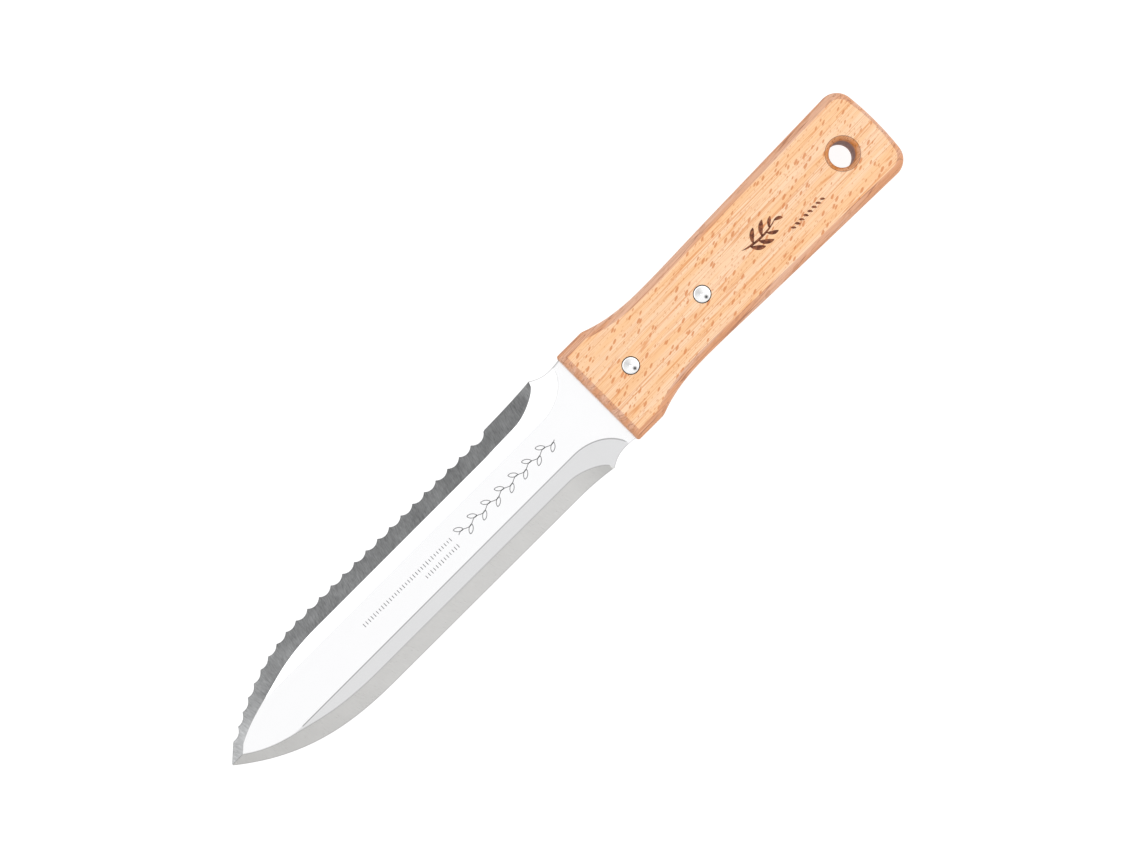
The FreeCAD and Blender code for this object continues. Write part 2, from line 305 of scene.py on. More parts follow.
def add_node(tree, kind, inputs=(), **settings):
    """A node with its settings. An input takes a value, a node's output, or a node for its first output."""
    node = tree.nodes.new(kind)
    for setting, value in settings.items():
        setattr(node, setting, value)
    for socket, value in dict(inputs).items():
        if isinstance(value, bpy.types.Node):
            value = value.outputs[0]
        if isinstance(value, bpy.types.NodeSocket):
            tree.links.new(value, node.inputs[socket])
        else:
            node.inputs[socket].default_value = value
    return node


def start_material(name):
    """An empty node tree, its material, and the material's surface shader."""
    material = bpy.data.materials.new(name)
    material.use_nodes = True
    tree = material.node_tree
    tree.nodes.clear()
    surface = add_node(tree, "ShaderNodeBsdfPrincipled")
    add_node(tree, "ShaderNodeOutputMaterial", {"Surface": surface.outputs[0]})
    return material, tree, surface


def steel(name, colour, roughness, spacing, depth, shade):
    """Stainless steel with short lines across its edge, spacing apart.

    Depth is how deep the lines are, in millimetres, and shade how much they darken. Where the mesh carries
    painted shade it is darker: dark lines along creases and edges, and marks on the rivet heads, painted to
    stand in for shade and dark reflections."""
    material, tree, surface = start_material(name)
    surface.inputs["Metallic"].default_value = 1.0
    along = add_node(tree, "ShaderNodeAttribute", attribute_name="along_edge").outputs["Fac"]
    painted_shade = add_node(tree, "ShaderNodeAttribute", attribute_name="painted_shade").outputs["Fac"]
    place = add_node(tree, "ShaderNodeTexCoord").outputs["Object"]
    parts = add_node(tree, "ShaderNodeSeparateXYZ", {0: place}).outputs
    streak = add_node(tree, "ShaderNodeCombineXYZ", {0: along, 1: parts[0], 2: parts[1]})
    cell = (spacing, LINE_LENGTH * MM, LINE_LENGTH * MM)
    streak = add_node(tree, "ShaderNodeVectorMath", {0: streak, 1: cell}, operation="DIVIDE")
    lines = add_node(
        tree, "ShaderNodeTexNoise", {"Vector": streak, "Scale": 1.0, "Detail": 3.0, "Roughness": 0.7},
    )
    cloud = add_node(
        tree, "ShaderNodeTexNoise",
        {"Vector": place, "Scale": 1 / (CLOUD_SIZE * MM), "Detail": 3.0, "Roughness": 0.55},
    )
    both = add_node(tree, "ShaderNodeMix", {0: 0.3, 2: lines, 3: cloud}, data_type="FLOAT")
    bright = add_node(tree, "ShaderNodeMapRange", {0: both, 1: 0.3, 2: 0.7, 3: 1.0 - shade, 4: 1.0})
    unshaded = add_node(tree, "ShaderNodeMath", {0: 1.0, 1: painted_shade}, operation="SUBTRACT")
    left = add_node(tree, "ShaderNodeMath", {0: bright, 1: unshaded}, operation="MULTIPLY")
    shaded = add_node(
        tree, "ShaderNodeMix", {0: 1.0, 6: (*colour, 1.0), 7: left}, data_type="RGBA", blend_type="MULTIPLY",
    )
    rough = add_node(
        tree, "ShaderNodeMapRange", {0: both, 1: 0.25, 2: 0.75, 3: roughness * 0.8, 4: roughness * 1.25},
    )
    tree.links.new(shaded.outputs[2], surface.inputs["Base Color"])
    tree.links.new(rough.outputs[0], surface.inputs["Roughness"])
    if depth > 0:
        bump = add_node(tree, "ShaderNodeBump", {"Strength": 1.0, "Distance": depth * MM, "Height": lines})
        tree.links.new(bump.outputs[0], surface.inputs["Normal"])
    return material


def grain_cells(tree, cell, slant):
    """Places counted in cells of a size in millimetres, turned off the grain by some degrees."""
    place = add_node(tree, "ShaderNodeTexCoord").outputs["Object"]
    turned = {0: place, "Rotation": (0.0, 0.0, math.radians(slant)), "Scale": [side * MM for side in cell]}
    return add_node(tree, "ShaderNodeMapping", turned, vector_type="TEXTURE")


def grain_cloud(tree, cell, slant, detail):
    """Soft patches, drawn out along the grain."""
    inputs = {"Vector": grain_cells(tree, cell, slant), "Scale": 1.0, "Detail": detail}
    return add_node(tree, "ShaderNodeTexNoise", inputs)


def grain_lines(tree, cell, slant, detail, width):
    """Thin lines along the grain, where soft patches pass their middle value."""
    off = add_node(
        tree, "ShaderNodeMath", {0: grain_cloud(tree, cell, slant, detail), 1: 0.5}, operation="SUBTRACT",
    )
    gap = add_node(tree, "ShaderNodeMath", {0: off}, operation="ABSOLUTE")
    return add_node(tree, "ShaderNodeMapRange", {0: gap, 1: width, 2: 0.0}, interpolation_type="SMOOTHSTEP")


def ray_flecks(tree, cell, slant, largest):
    """Short flecks, one to a cell, of every size up to a share of the cell."""
    cells = add_node(
        tree, "ShaderNodeTexVoronoi", {"Vector": grain_cells(tree, cell, slant), "Scale": 1.0},
    ).outputs
    dice = add_node(tree, "ShaderNodeSeparateColor", {0: cells["Color"]})
    size = add_node(
        tree, "ShaderNodeMapRange", {0: dice, 1: 0.1, 2: 1.0, 3: 0.0, 4: largest},
        interpolation_type="SMOOTHSTEP",
    )
    inside = add_node(tree, "ShaderNodeMath", {0: size, 1: cells["Distance"]}, operation="SUBTRACT")
    return add_node(tree, "ShaderNodeMapRange", {0: inside, 1: 0.0, 2: 0.1}, interpolation_type="SMOOTHSTEP")


def beech(name, ground, ray, line, roughness, ray_size, line_share, ray_share):
    """Beech with its grain along X: pale ground, thin lines along it, and short slanting rays."""
    material, tree, surface = start_material(name)
    # Each cell has a length along the grain, a width and a thickness in millimetres, then a slant in degrees.
    ray_cell = np.array([1.0, 0.36, 0.7]) * ray_size
    broad = grain_cloud(tree, (60, 3.2, 4), 1.0, 2.0)
    fibre = grain_cloud(tree, (9, 0.28, 0.6), 0.8, 2.0)
    growth = grain_lines(tree, (60, 1.1, 1.7), 1.2, 0.5, 0.036)
    fine = grain_lines(tree, (20, 0.5, 3), 0.8, 0.0, 0.05)
    large = ray_flecks(tree, ray_cell, 22, 0.44)
    small = ray_flecks(tree, ray_cell / 2, 18, 0.38)
    drawn = []
    for bold, faint, faded, share in ((growth, fine, 0.4, line_share), (large, small, 0.6, ray_share)):
        faint = add_node(tree, "ShaderNodeMath", {0: faint, 1: faded}, operation="MULTIPLY")
        either = add_node(tree, "ShaderNodeMath", {0: bold, 1: faint}, operation="MAXIMUM")
        drawn.append(add_node(tree, "ShaderNodeMath", {0: either, 1: share}, operation="MULTIPLY"))
    threads, flecks = drawn
    pale = [part + (1.0 - part) * 0.14 for part in ground[:3]]
    deep = [part * fade for part, fade in zip(ground[:3], (0.99, 0.93, 0.87))]
    patches = add_node(
        tree, "ShaderNodeMapRange", {0: broad, 1: 0.35, 2: 0.65}, interpolation_type="SMOOTHSTEP",
    )
    pores = add_node(
        tree, "ShaderNodeMapRange", {0: fibre, 1: 0.5, 2: 0.75, 3: 0.0, 4: 0.3},
        interpolation_type="SMOOTHSTEP",
    )
    shade = (*pale, 1.0)
    for share, tone in ((patches, deep), (pores, line), (threads, line), (flecks, ray)):
        layer = {0: share, 6: shade, 7: (*tone[:3], 1.0)}
        shade = add_node(tree, "ShaderNodeMix", layer, data_type="RGBA").outputs[2]
    rough = add_node(
        tree, "ShaderNodeMapRange", {0: fibre, 1: 0.2, 2: 0.8, 3: roughness - 0.06, 4: roughness + 0.08},
        interpolation_type="SMOOTHSTEP",
    )
    fibres = add_node(tree, "ShaderNodeMath", {0: fibre, 1: 0.5}, operation="MULTIPLY")
    sunk = add_node(tree, "ShaderNodeMath", {0: threads, 1: flecks}, operation="ADD")
    relief = add_node(tree, "ShaderNodeMath", {0: fibres, 1: sunk}, operation="SUBTRACT")
    bump = add_node(tree, "ShaderNodeBump", {"Strength": 0.5, "Distance": 0.04 * MM, "Height": relief})
    tree.links.new(shade, surface.inputs["Base Color"])
    tree.links.new(rough.outputs[0], surface.inputs["Roughness"])
    tree.links.new(bump.outputs[0], surface.inputs["Normal"])
    return material


def charred(name, colour):
    """Beech burned with a hot iron: matt dark brown, lighter where the iron pressed less."""
    material, tree, surface = start_material(name)
    place = add_node(tree, "ShaderNodeTexCoord").outputs["Object"]
    patches = add_node(
        tree, "ShaderNodeTexNoise",
        {"Vector": place, "Scale": 1 / (CHAR_PATCH * MM), "Detail": 3.0, "Roughness": 0.6},
    )
    pressed = add_node(tree, "ShaderNodeMapRange", {0: patches, 1: 0.42, 2: 0.66})
    burned = add_node(
        tree, "ShaderNodeMix", {0: pressed, 6: (*colour, 1.0), 7: linear("9A5A38")}, data_type="RGBA",
    )
    tree.links.new(burned.outputs[2], surface.inputs["Base Color"])
    surface.inputs["Roughness"].default_value = 0.8
    return material


# ---- Curves ----

def bezier(poles, count):
    """Even steps in the parameter of a Bezier curve of any degree, both ends included."""
    share = np.linspace(0.0, 1.0, count + 1)[:, None]
    degree = len(poles) - 1
    points = 0.0
    for order, pole in enumerate(poles):
        weight = math.comb(degree, order) * share ** order * (1 - share) ** (degree - order)
        points = points + weight * np.array(pole)
    return points


def joined(*runs):
    """Runs of points that each start where the last one ends, as one run."""
    return np.concatenate([runs[0]] + [run[1:] for run in runs[1:]])


def lengths(points):
    """Distance along a run of points, from its start to each of them."""
    steps = np.linalg.norm(np.diff(points, axis=0), axis=1)
    return np.concatenate([[0.0], np.cumsum(steps)])


def at_length(points, along):
    """The points that lie these distances along a run."""
    run = lengths(points)
    return np.stack([np.interp(along, run, points[:, axis]) for axis in (0, 1)], axis=1)


def nearest(points, run):
    """For each point, the distance along the run to its nearest place, and how far off the run it lies."""
    start = run[:-1][None]
    step = np.diff(run, axis=0)[None]
    share = ((points[:, None] - start) * step).sum(2) / (step ** 2).sum(2)
    share = np.clip(share, 0.0, 1.0)
    gap = np.linalg.norm(points[:, None] - start - share[..., None] * step, axis=2)
    best = gap.argmin(1)
    rows = np.arange(len(points))
    along = lengths(run)
    length = along[best] + share[rows, best] * (along[best + 1] - along[best])
    return length, gap[rows, best]


# ---- The blade's surfaces ----

def past_fold(points):
    """How far each point lies beyond the fold between the flat middle and the flank."""
    width = SHOULDER_HALF - FOLD_HALF
    along = np.maximum(0.0, SHOULDER_STATION - points[:, 0]) / SHOULDER_LENGTH
    sideways = np.maximum(0.0, SHOULDER_HALF - np.abs(points[:, 1])) / width
    return width * (1.0 - np.hypot(along, sideways))


def convex_height(points):
    """Height of the convex face, with its fold rounded over."""
    past = past_fold(points)
    rounded = FLANK_SLOPE * (past + FOLD_BLEND) ** 2 / (4 * FOLD_BLEND)
    drop = np.where(past > FOLD_BLEND, FLANK_SLOPE * past, np.where(past > -FOLD_BLEND, rounded, 0.0))
    return FACE_Z - drop


def swept_mean(values, along, reach):
    """Each value evened out with those within reach of it along a run."""
    steps = np.diff(along) * (values[1:] + values[:-1]) / 2
    total = np.concatenate([[0.0], np.cumsum(steps)])
    first = total[0] + values[0] * np.minimum(0.0, along - reach)
    last = values[-1] * np.maximum(0.0, along + reach - along[-1])
    ahead = np.interp(along + reach, along, total) + last
    behind = np.interp(along - reach, along, total) + first
    return (ahead - behind) / (2 * reach)


class GroundEdge:
    """One long edge of the blade, and the bevel that is ground along it, on one side of the middle."""

    def __init__(self, side, run, slope):
        self.side = side
        heading = (run[1] - run[0]) / np.linalg.norm(run[1] - run[0])
        self.run = joined(np.array([run[0] - heading * TIP_OVERRUN, run[0]]), run)
        self.outline = joined(run, bezier(NECK, NECK_STEPS), np.array([NECK[-1], TANG_START]))
        self.spur_length = lengths(self.run)[-1]
        step = np.gradient(self.run, axis=0)
        step /= np.linalg.norm(step, axis=1)[:, None]
        inward = np.stack([step[:, 1], -step[:, 0]], axis=1)
        inward *= np.where(inward[:, 1] > 0, -1.0, 1.0)[:, None]
        edge_height = convex_height(self.run) - STEEL + EDGE_LAND
        low = np.zeros(len(self.run))
        high = np.full(len(self.run), WIDEST_BEVEL)
        for halving in range(30):
            width = (low + high) / 2
            under = edge_height + slope * width < convex_height(self.run + inward * width[:, None])
            low = np.where(under, width, low)
            high = np.where(under, high, width)
        past = np.maximum(0.0, RUN_OUT_STATION - self.run[:, 0]) / (RUN_OUT_STATION - SPUR[0])
        swept = swept_mean(low, lengths(self.run), GRIND_SWEEP)
        self.width = swept * np.sqrt(np.maximum(0.0, 1.0 - past ** 2))
        self.inner_height = convex_height(self.run + inward * self.width[:, None])
        rise = (convex_height(self.run + inward * swept[:, None]) - edge_height) / swept
        self.rise = np.where(self.run[:, 0] > RUN_OUT_STATION, rise, slope)

    def bevel_height(self, points):
        """Height of the bevel's plane over each point."""
        along, gap = nearest(points * (1, self.side), self.run)
        run = lengths(self.run)
        width = np.interp(along, run, self.width)
        height = np.interp(along, run, self.inner_height)
        return height + np.interp(along, run, self.rise) * (gap - width)

    def slanting(self, points):
        """Distance along the edge, counted along lines that slant back as they leave it."""
        along, gap = nearest(points * (1, self.side), self.run)
        return along + GRIND_SLANT * gap


class Scallops:
    """The hollows that a leaning wheel grinds into the saw edge, one between each two tooth tips."""

    def __init__(self, edge):
        run = edge.run
        nose_start = lengths(run)[np.abs(run - SAW_NOSE[0]).sum(1).argmin()]
        tips = [nose_start + NOSE_PITCH * count for count in range(NOSE_SCALLOPS + 1)]
        first = at_length(run, [tips[-1]])[0]
        stations = np.linspace(first[0], SAW_LAST_TIP[0], STRAIGHT_SCALLOPS + 1)[1:]
        stations = list(stations) + [SAW_REAR[0][0]]
        tips += list(np.interp(stations, run[::-1, 0], lengths(run)[::-1]))
        self.edge = edge
        self.tips = np.array(tips)
        self.middle = (self.tips[:-1] + self.tips[1:]) / 2
        half = np.diff(self.tips) / 2
        self.reach = np.sqrt(WHEEL_RADIUS ** 2 - half ** 2)
        self.pivot = convex_height(at_length(run, self.middle)) - STEEL

    def cut(self, points, height):
        """How far each point, at its height, lies inside a hollow; below zero where steel is left."""
        along, gap = nearest(points * (1, self.edge.side), self.edge.run)
        off = along[:, None] - self.middle[None]
        over = np.sqrt(np.maximum(0.0, WHEEL_RADIUS ** 2 - off ** 2))
        rise = height[:, None] - self.pivot[None]
        depth = (over + rise * math.sin(WHEEL_TILT)) / math.cos(WHEEL_TILT) - self.reach[None]
        depth = np.where(np.abs(off) < WHEEL_RADIUS, depth, -1.0)
        return np.maximum(0.0, depth.max(1)) - gap


def crossing(inner, outer, measure):
    """The share of the way from inner to outer where the measure turns positive, on every rib."""
    low = np.zeros(len(inner))
    high = np.ones(len(inner))
    for halving in range(26):
        middle = (low + high) / 2
        past = measure(inner + (outer - inner) * middle[:, None]) > 0
        high = np.where(past, middle, high)
        low = np.where(past, low, middle)
    return (low + high) / 2


def fanned(points):
    """The middle-line station of the rib that ends at each edge point: ribs lean forward at the nose."""
    lean = np.clip((points[:, 0] - SAW_NOSE[-1][0]) / RIB_LEAN_LENGTH, 0.0, 1.0)
    return points[:, 0] - RIB_LEAN * np.abs(points[:, 1]) * lean


def middle_line(stations, knife, saw):
    """Where the two bevels are level with each other: the ridge at the tip, the middle further back."""
    reach = np.full(len(stations), RIDGE_REACH)
    left = np.stack([stations, -reach], axis=1)
    right = np.stack([stations, reach], axis=1)
    share = crossing(left, right, lambda at: saw.bevel_height(at) - knife.bevel_height(at))
    ahead = np.clip((stations - RIDGE_FADE[0]) / (RIDGE_FADE[1] - RIDGE_FADE[0]), 0.0, 1.0)
    return np.stack([stations, (2 * share * RIDGE_REACH - RIDGE_REACH) * ahead], axis=1)


# ---- Shells of faces ----

class Shell:
    """Faces gathered by the places of their corners, so that neighbours share those corners."""

    def __init__(self):
        self.found = {}
        self.corners = []
        self.faces = []
        self.finishes = []
        self.painted_shade = {}

    def corner(self, place):
        """The number of the corner at a place, made the first time it is asked for."""
        key = tuple(round(float(part), 4) for part in place)
        if key not in self.found:
            self.found[key] = len(self.corners)
            self.corners.append([float(part) for part in place])
        return self.found[key]

    def paint_shade(self, places, amounts):
        """Paints shade along a line through these corners, darkening it by a share of its brightness at each.
        """
        for place, amount in zip(places, amounts):
            if amount:
                self.painted_shade[self.corner(place)] = amount

    def face(self, places, finish=0):
        """One face, unless its corners fall together."""
        ring = [self.corner(place) for place in places]
        ring = [at for order, at in enumerate(ring) if at != ring[order - 1]]
        if len(set(ring)) >= 3:
            self.faces.append(ring)
            self.finishes.append(finish)

    def band(self, first, second, finish=0, closed=True):
        """Faces from one run of places to another with as many."""
        count = len(first)
        for at in range(count if closed else count - 1):
            after = (at + 1) % count
            self.face([first[at], first[after], second[after], second[at]], finish)

    def sheet(self, outline, holes=(), finish=0):
        """A flat face with holes in it."""
        loops = [[Vector(place) for place in loop] for loop in (outline, *holes)]
        places = [place for loop in loops for place in loop]
        for triangle in tessellate_polygon(loops):
            self.face([places[at] for at in triangle], finish)

    def piece(self, name, materials, crease):
        """The shell as an object, creased where its faces turn by more than an angle in degrees."""
        mesh = bpy.data.meshes.new(name)
        mesh.from_pydata([[part * MM for part in place] for place in self.corners], [], self.faces)
        mesh.polygons.foreach_set("material_index", self.finishes)
        for material in materials:
            mesh.materials.append(material)
        work = bmesh.new()
        work.from_mesh(mesh)
        bmesh.ops.recalc_face_normals(work, faces=work.faces)
        work.to_mesh(mesh)
        work.free()
        mesh.shade_smooth()
        mesh.set_sharp_from_angle(angle=math.radians(crease))
        # The painted shade, kept on the corners for the steel materials to read.
        painted_shade = mesh.attributes.new("painted_shade", "FLOAT", "POINT")
        painted_shade.data.foreach_set("value", [self.painted_shade.get(at, 0.0) for at in range(len(self.corners))])
        piece = bpy.data.objects.new(name, mesh)
        bpy.context.scene.collection.objects.link(piece)
        return piece


def at_height(points, height):
    """Points given by station and half width, as places in the frame, in millimetres."""
    heights = np.zeros(len(points)) + height
    return np.column_stack([points[:, 0] + FRONT_X, points[:, 1], heights])


def circle(station, half, radius, height, count=TURNED_STEPS):
    """A ring of places about a point given by station and half width."""
    angles = np.arange(count) * 2 * math.pi / count
    points = np.stack([station + radius * np.cos(angles), half + radius * np.sin(angles)], axis=1)
    return at_height(points, height)


def finish_piece(piece, nodes=()):
    """Fixes a piece to the knife and hides the parts that it stands in for."""
    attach(piece, "root")
    if nodes:
        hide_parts(*nodes)


# ---- The blade ----

FACE_FINISH, KNIFE_FINISH, SAW_FINISH, WALL_FINISH, TOOTH_FINISH = range(5)
# A bevel's finish, and the share by which painted shade darkens the fold beside it and its own border: dark
# lines that stand in for reflections in their small roundings.
KNIFE_SHADE = (KNIFE_FINISH, 0.5, 0.3)
SAW_SHADE = (SAW_FINISH, 0.1, 0.1)
# Painted shade along the cut edge and the neck's outline, and on the saw bevel near the spur.
EDGE_SHADE, NECK_SHADE, SPUR_SHADE = 0.3, 0.6, 0.5
# How far beyond the fold the mesh has corners, and which columns of corners carry the painted shade of its
# crease.
FOLD_COLUMNS = (
    -FOLD_BLEND - FOLD_MARGIN, -FOLD_BLEND, -FOLD_BLEND / 2, 0.0,
    FOLD_BLEND / 2, FOLD_BLEND, FOLD_BLEND + FOLD_MARGIN,
)
CREASE = (4, 5)
# A share of a rib past which it counts as reaching the edge.
WHOLE = 0.9999


def knife_edge():
    """The knife edge, from the tip to the spur."""
    run = joined(
        bezier(KNIFE_NOSE, NOSE_STEPS),
        np.array([KNIFE_NOSE[-1], KNIFE_REAR[0]]),
        bezier(KNIFE_REAR, REAR_STEPS),
    )
    return GroundEdge(1, run, KNIFE_SLOPE)


def saw_edge():
    """The saw edge, through its tooth tips, from the tip to the spur."""
    run = joined(
        np.array([SAW_TIP, SAW_NOSE[0]]),
        bezier(SAW_NOSE, NOSE_STEPS),
        np.array([SAW_NOSE[-1], SAW_LAST_TIP, SAW_REAR[0]]),
        bezier(SAW_REAR, REAR_STEPS),
    )
    return GroundEdge(-1, run, SAW_SLOPE)


def rib_lengths(edge, scallops):
    """Distances along the saw edge at which a rib of the mesh starts, from the tip to the spur."""
    tip = np.linspace(TIP_OVERRUN, scallops.tips[0], 13)[:-1]
    teeth = [
        np.linspace(start, end, ROWS_PER_SCALLOP + 1)[:-1]
        for start, end in zip(scallops.tips, scallops.tips[1:])
    ]
    rear = np.linspace(scallops.tips[-1], edge.spur_length, 40)
    return np.concatenate([tip, *teeth, rear])


def rib_columns(edge, ribs, middle, scallops, front_height, back_height):
    """Shares of each rib at which the mesh has a corner, from the middle line to the edge.

    Above, the corners follow the fold, the line where the bevel starts, and support lines beside it.
    Returns the shares above, the shares below, and the share where the bevel starts."""
    starts = crossing(middle, ribs, lambda at: convex_height(at) - edge.bevel_height(at))
    above = below = np.ones(len(ribs))
    if scallops:
        above = crossing(middle, ribs, lambda at: scallops.cut(at, front_height(at)))
        below = crossing(middle, ribs, lambda at: scallops.cut(at, back_height(at)))
    folds = [
        crossing(middle, ribs, lambda at, beyond=beyond: past_fold(at) - beyond)
        for beyond in FOLD_COLUMNS
    ]
    front = [np.zeros(len(ribs)), folds[0] / 2, *folds]
    inner = np.minimum(starts, above)
    step = SHADE_LINE_WIDTH / np.linalg.norm(ribs - middle, axis=1).clip(1.0)
    beside = np.maximum(0.0, inner - 2 * step)
    after = np.minimum(inner + step, above)
    columns = [np.minimum(column, beside) for column in front]
    columns += [beside, np.maximum(0.0, inner - step), inner]
    columns += [after, np.maximum(after, above - step), above]
    back = [np.minimum(column, below) for column in front] + [below]
    return columns, back, starts


def half_surface(shell, edge, ribs, middle, scallops):
    """One side of the blade, from its middle line to its edge. Returns its corners above and below."""

    def front_height(points):
        return np.minimum(convex_height(points), edge.bevel_height(points))

    def back_height(points):
        return convex_height(points) - STEEL

    def places(column, height):
        points = middle + (ribs - middle) * column[:, None]
        return at_height(points, height(points))

    columns, back, starts = rib_columns(edge, ribs, middle, scallops, front_height, back_height)
    top = np.stack([places(column, front_height) for column in columns], axis=1)
    bottom = np.stack([places(column, back_height) for column in back], axis=1)
    beside, inner, above = (columns[at] for at in (-6, -4, -1))
    ground = inner < above
    bevel, crease, border = KNIFE_SHADE if edge.side > 0 else SAW_SHADE
    # Painted shade, as dark lines: along the fold and the bevel's border, standing in for reflections in
    # their small roundings; along the cut edge and the neck's outline, painted edge shade; and on the saw
    # bevel, painted darker towards the spur.
    for column in CREASE:
        shell.paint_shade(top[:, column], crease * (columns[CREASE[-1] + 1] < beside))
    shell.paint_shade(top[:, -5], NECK_SHADE / 2 * ~ground)
    shell.paint_shade(top[:, -4], border * ground)
    shell.paint_shade(top[:, -1], np.where(ground, EDGE_SHADE, NECK_SHADE))
    if scallops:
        shade = np.interp(ribs[:, 0], (SPUR[0], RUN_OUT_STATION), (SPUR_SHADE, 0.0)) * ground
        for column in (-4, -3, -2):
            shell.paint_shade(top[:, column], shade)
    first_ground = top.shape[1] - 4
    for row in range(len(ribs) - 1):
        in_neck = starts[row:row + 2].min() > WHOLE
        for column in range(top.shape[1] - 1):
            finish = FACE_FINISH if column < first_ground or in_neck else bevel
            shell.face([*top[row, column:column + 2], *top[row + 1, [column + 1, column]]], finish)
        for column in range(bottom.shape[1] - 1):
            shell.face([*bottom[row, column:column + 2], *bottom[row + 1, [column + 1, column]]])
        toothed = scallops is not None and above[row:row + 2].min() < WHOLE
        wall = TOOTH_FINISH if toothed else WALL_FINISH
        shell.face([top[row, -1], top[row + 1, -1], bottom[row + 1, -1], bottom[row, -1]], wall)
    return top, bottom


def tang(shell, tops, bottoms):
    """The hidden part of the blade, with its two rivet holes, joined on to the last ribs."""
    end = np.array([TANG_WAIST[-1], *TANG_END])
    half = joined(np.array([TANG_START, TANG_WAIST[0]]), bezier(TANG_WAIST, 18), end)
    other = half[::-1] * (1, -1)
    outline = np.concatenate([half, other])
    for level, ribs in ((FACE_Z, tops), (FACE_Z - STEEL, bottoms)):
        saw_rib, knife_rib = (rib[-1] for rib in ribs)
        front = list(saw_rib[::-1]) + list(knife_rib[1:])
        loop = front + list(at_height(outline, level))[1:-1]
        tidy = [place for order, place in enumerate(loop) if np.abs(place - loop[order - 1]).max() > 1e-4]
        holes = [circle(station, 0, BORE_RADIUS, level) for station in RIVET_STATIONS]
        shell.sheet(tidy, holes)
    shell.band(at_height(outline, FACE_Z), at_height(outline, FACE_Z - STEEL), WALL_FINISH, closed=False)
    for station in RIVET_STATIONS:
        upper = circle(station, 0, BORE_RADIUS, FACE_Z)
        shell.band(upper, circle(station, 0, BORE_RADIUS, FACE_Z - STEEL), WALL_FINISH)


class HORIHORI_OT_blade(bpy.types.Operator):
    """Grind the blade: dished steel, a bevelled knife edge and a scalloped saw edge"""

    bl_idname = "hori_hori.blade"
    bl_label = "Blade"

    def execute(self, context):
        looks = context.scene.hori_hori_blade
        knife = knife_edge()
        saw = saw_edge()
        scallops = Scallops(saw)
        saw_ribs = at_length(saw.run, rib_lengths(saw, scallops))
        neck = joined(bezier(NECK, NECK_STEPS), np.array([NECK[-1], TANG_START]))
        saw_ribs = np.concatenate([saw_ribs, neck[1:]])
        stations = fanned(saw_ribs)
        fan = fanned(knife.outline)
        knife_along = np.interp(stations, fan[::-1], lengths(knife.outline)[::-1])
        knife_ribs = at_length(knife.outline, knife_along)
        middle = middle_line(stations, knife, saw)
        shell = Shell()
        saw_faces = half_surface(shell, saw, saw_ribs * (1, -1), middle, scallops)
        knife_faces = half_surface(shell, knife, knife_ribs, middle, None)
        tang(shell, (saw_faces[0], knife_faces[0]), (saw_faces[1], knife_faces[1]))
        nose = [saw_faces[0][0, -1], *saw_faces[0][0, -2::-1], *knife_faces[0][0, 1:]]
        nose += [*knife_faces[1][0, ::-1], *saw_faces[1][0, 1:]]
        shell.face(nose, WALL_FINISH)
        spacing = looks.grind_spacing
        # Stainless steel sheet, buffed on its faces, which mirror the light softly. The knife bevel is
        # finely ground, and greyer. The saw bevel is coarsely ground: its short lines, drawn wider apart
        # than a wheel leaves them so that they show, make it dark and streaky. The cut edge is sheared,
        # and the hollows of the teeth are bright from the wheel.
        piece = shell.piece("blade_steel_forging", [
            steel("stainless steel, polished", looks.face_colour, 0.16, spacing, 0.0, 0.02),
            steel("stainless steel, fine ground", looks.knife_bevel_colour, 0.3, spacing, 0.0006, 0.08),
            steel("stainless steel, coarse ground", looks.saw_bevel_colour, 0.34, spacing, 0.003, 0.6),
            steel("stainless steel, sheared", looks.saw_bevel_colour, 0.4, spacing, 0.0, 0.15),
            steel("stainless steel, wheel cut", looks.face_colour, 0.28, spacing, 0.0, 0.12),
        ], 10)
        places = np.array(shell.corners)[:, :2] - (FRONT_X, 0)
        along = np.where(places[:, 1] < 0, saw.slanting(places), knife.slanting(places))
        run = piece.data.attributes.new("along_edge", "FLOAT", "POINT")
        run.data.foreach_set("value", along * MM)
        finish_piece(piece, ["blade"])
        return {"FINISHED"}


# ---- The handle ----

# The rounded-over, drilled and bored finishes carry painted shade.
FLAT_FINISH, ROUND_SHADED_FINISH, END_FINISH, BORE_SHADED_FINISH, SHADED_WALL_OF_HOLE = range(5)


def butt_outline():
    """The rest of a side, its rounded corner, and half of the curved butt, with each part's start."""
    centre = np.array([BUTT_RADIUS - HANDLE_LENGTH, 0.0])
    sagitta = BUTT_RADIUS - math.sqrt(BUTT_RADIUS ** 2 - REAR_HALF ** 2)
    start = np.array(SWELL[-1])
    end = np.array([sagitta - HANDLE_LENGTH, REAR_HALF])
    heading = (end - start) / np.linalg.norm(end - start)
    inward = np.array([-heading[1], heading[0]])
    base = start + inward * BUTT_CORNER - centre
    ahead = base @ heading
    reach = -base @ heading + math.sqrt(ahead ** 2 - base @ base + (BUTT_RADIUS - BUTT_CORNER) ** 2)
    hub = start + inward * BUTT_CORNER + heading * reach
    side_angle = math.atan2(-inward[1], -inward[0])
    out = (hub - centre) / np.linalg.norm(hub - centre)
    butt_angle = math.atan2(out[1], out[0])
    turn = np.linspace(side_angle, butt_angle, 13)
    corner = hub + BUTT_CORNER * np.stack([np.cos(turn), np.sin(turn)], axis=1)
    sweep = np.linspace(butt_angle, math.pi, 11)
    butt = centre + BUTT_RADIUS * np.stack([np.cos(sweep), np.sin(sweep)], axis=1)
    kerf_end = start + heading * (KERF_LENGTH + start[0]) / -heading[0]
    side = np.concatenate([[start], np.linspace(kerf_end, corner[0], 14)])
    return side, corner, butt


def side_normals(points):
    """The way square to a run of points at each of them, to its left."""
    step = np.gradient(points, axis=0)
    step /= np.linalg.norm(step, axis=1)[:, None]
    return np.stack([-step[:, 1], step[:, 0]], axis=1)


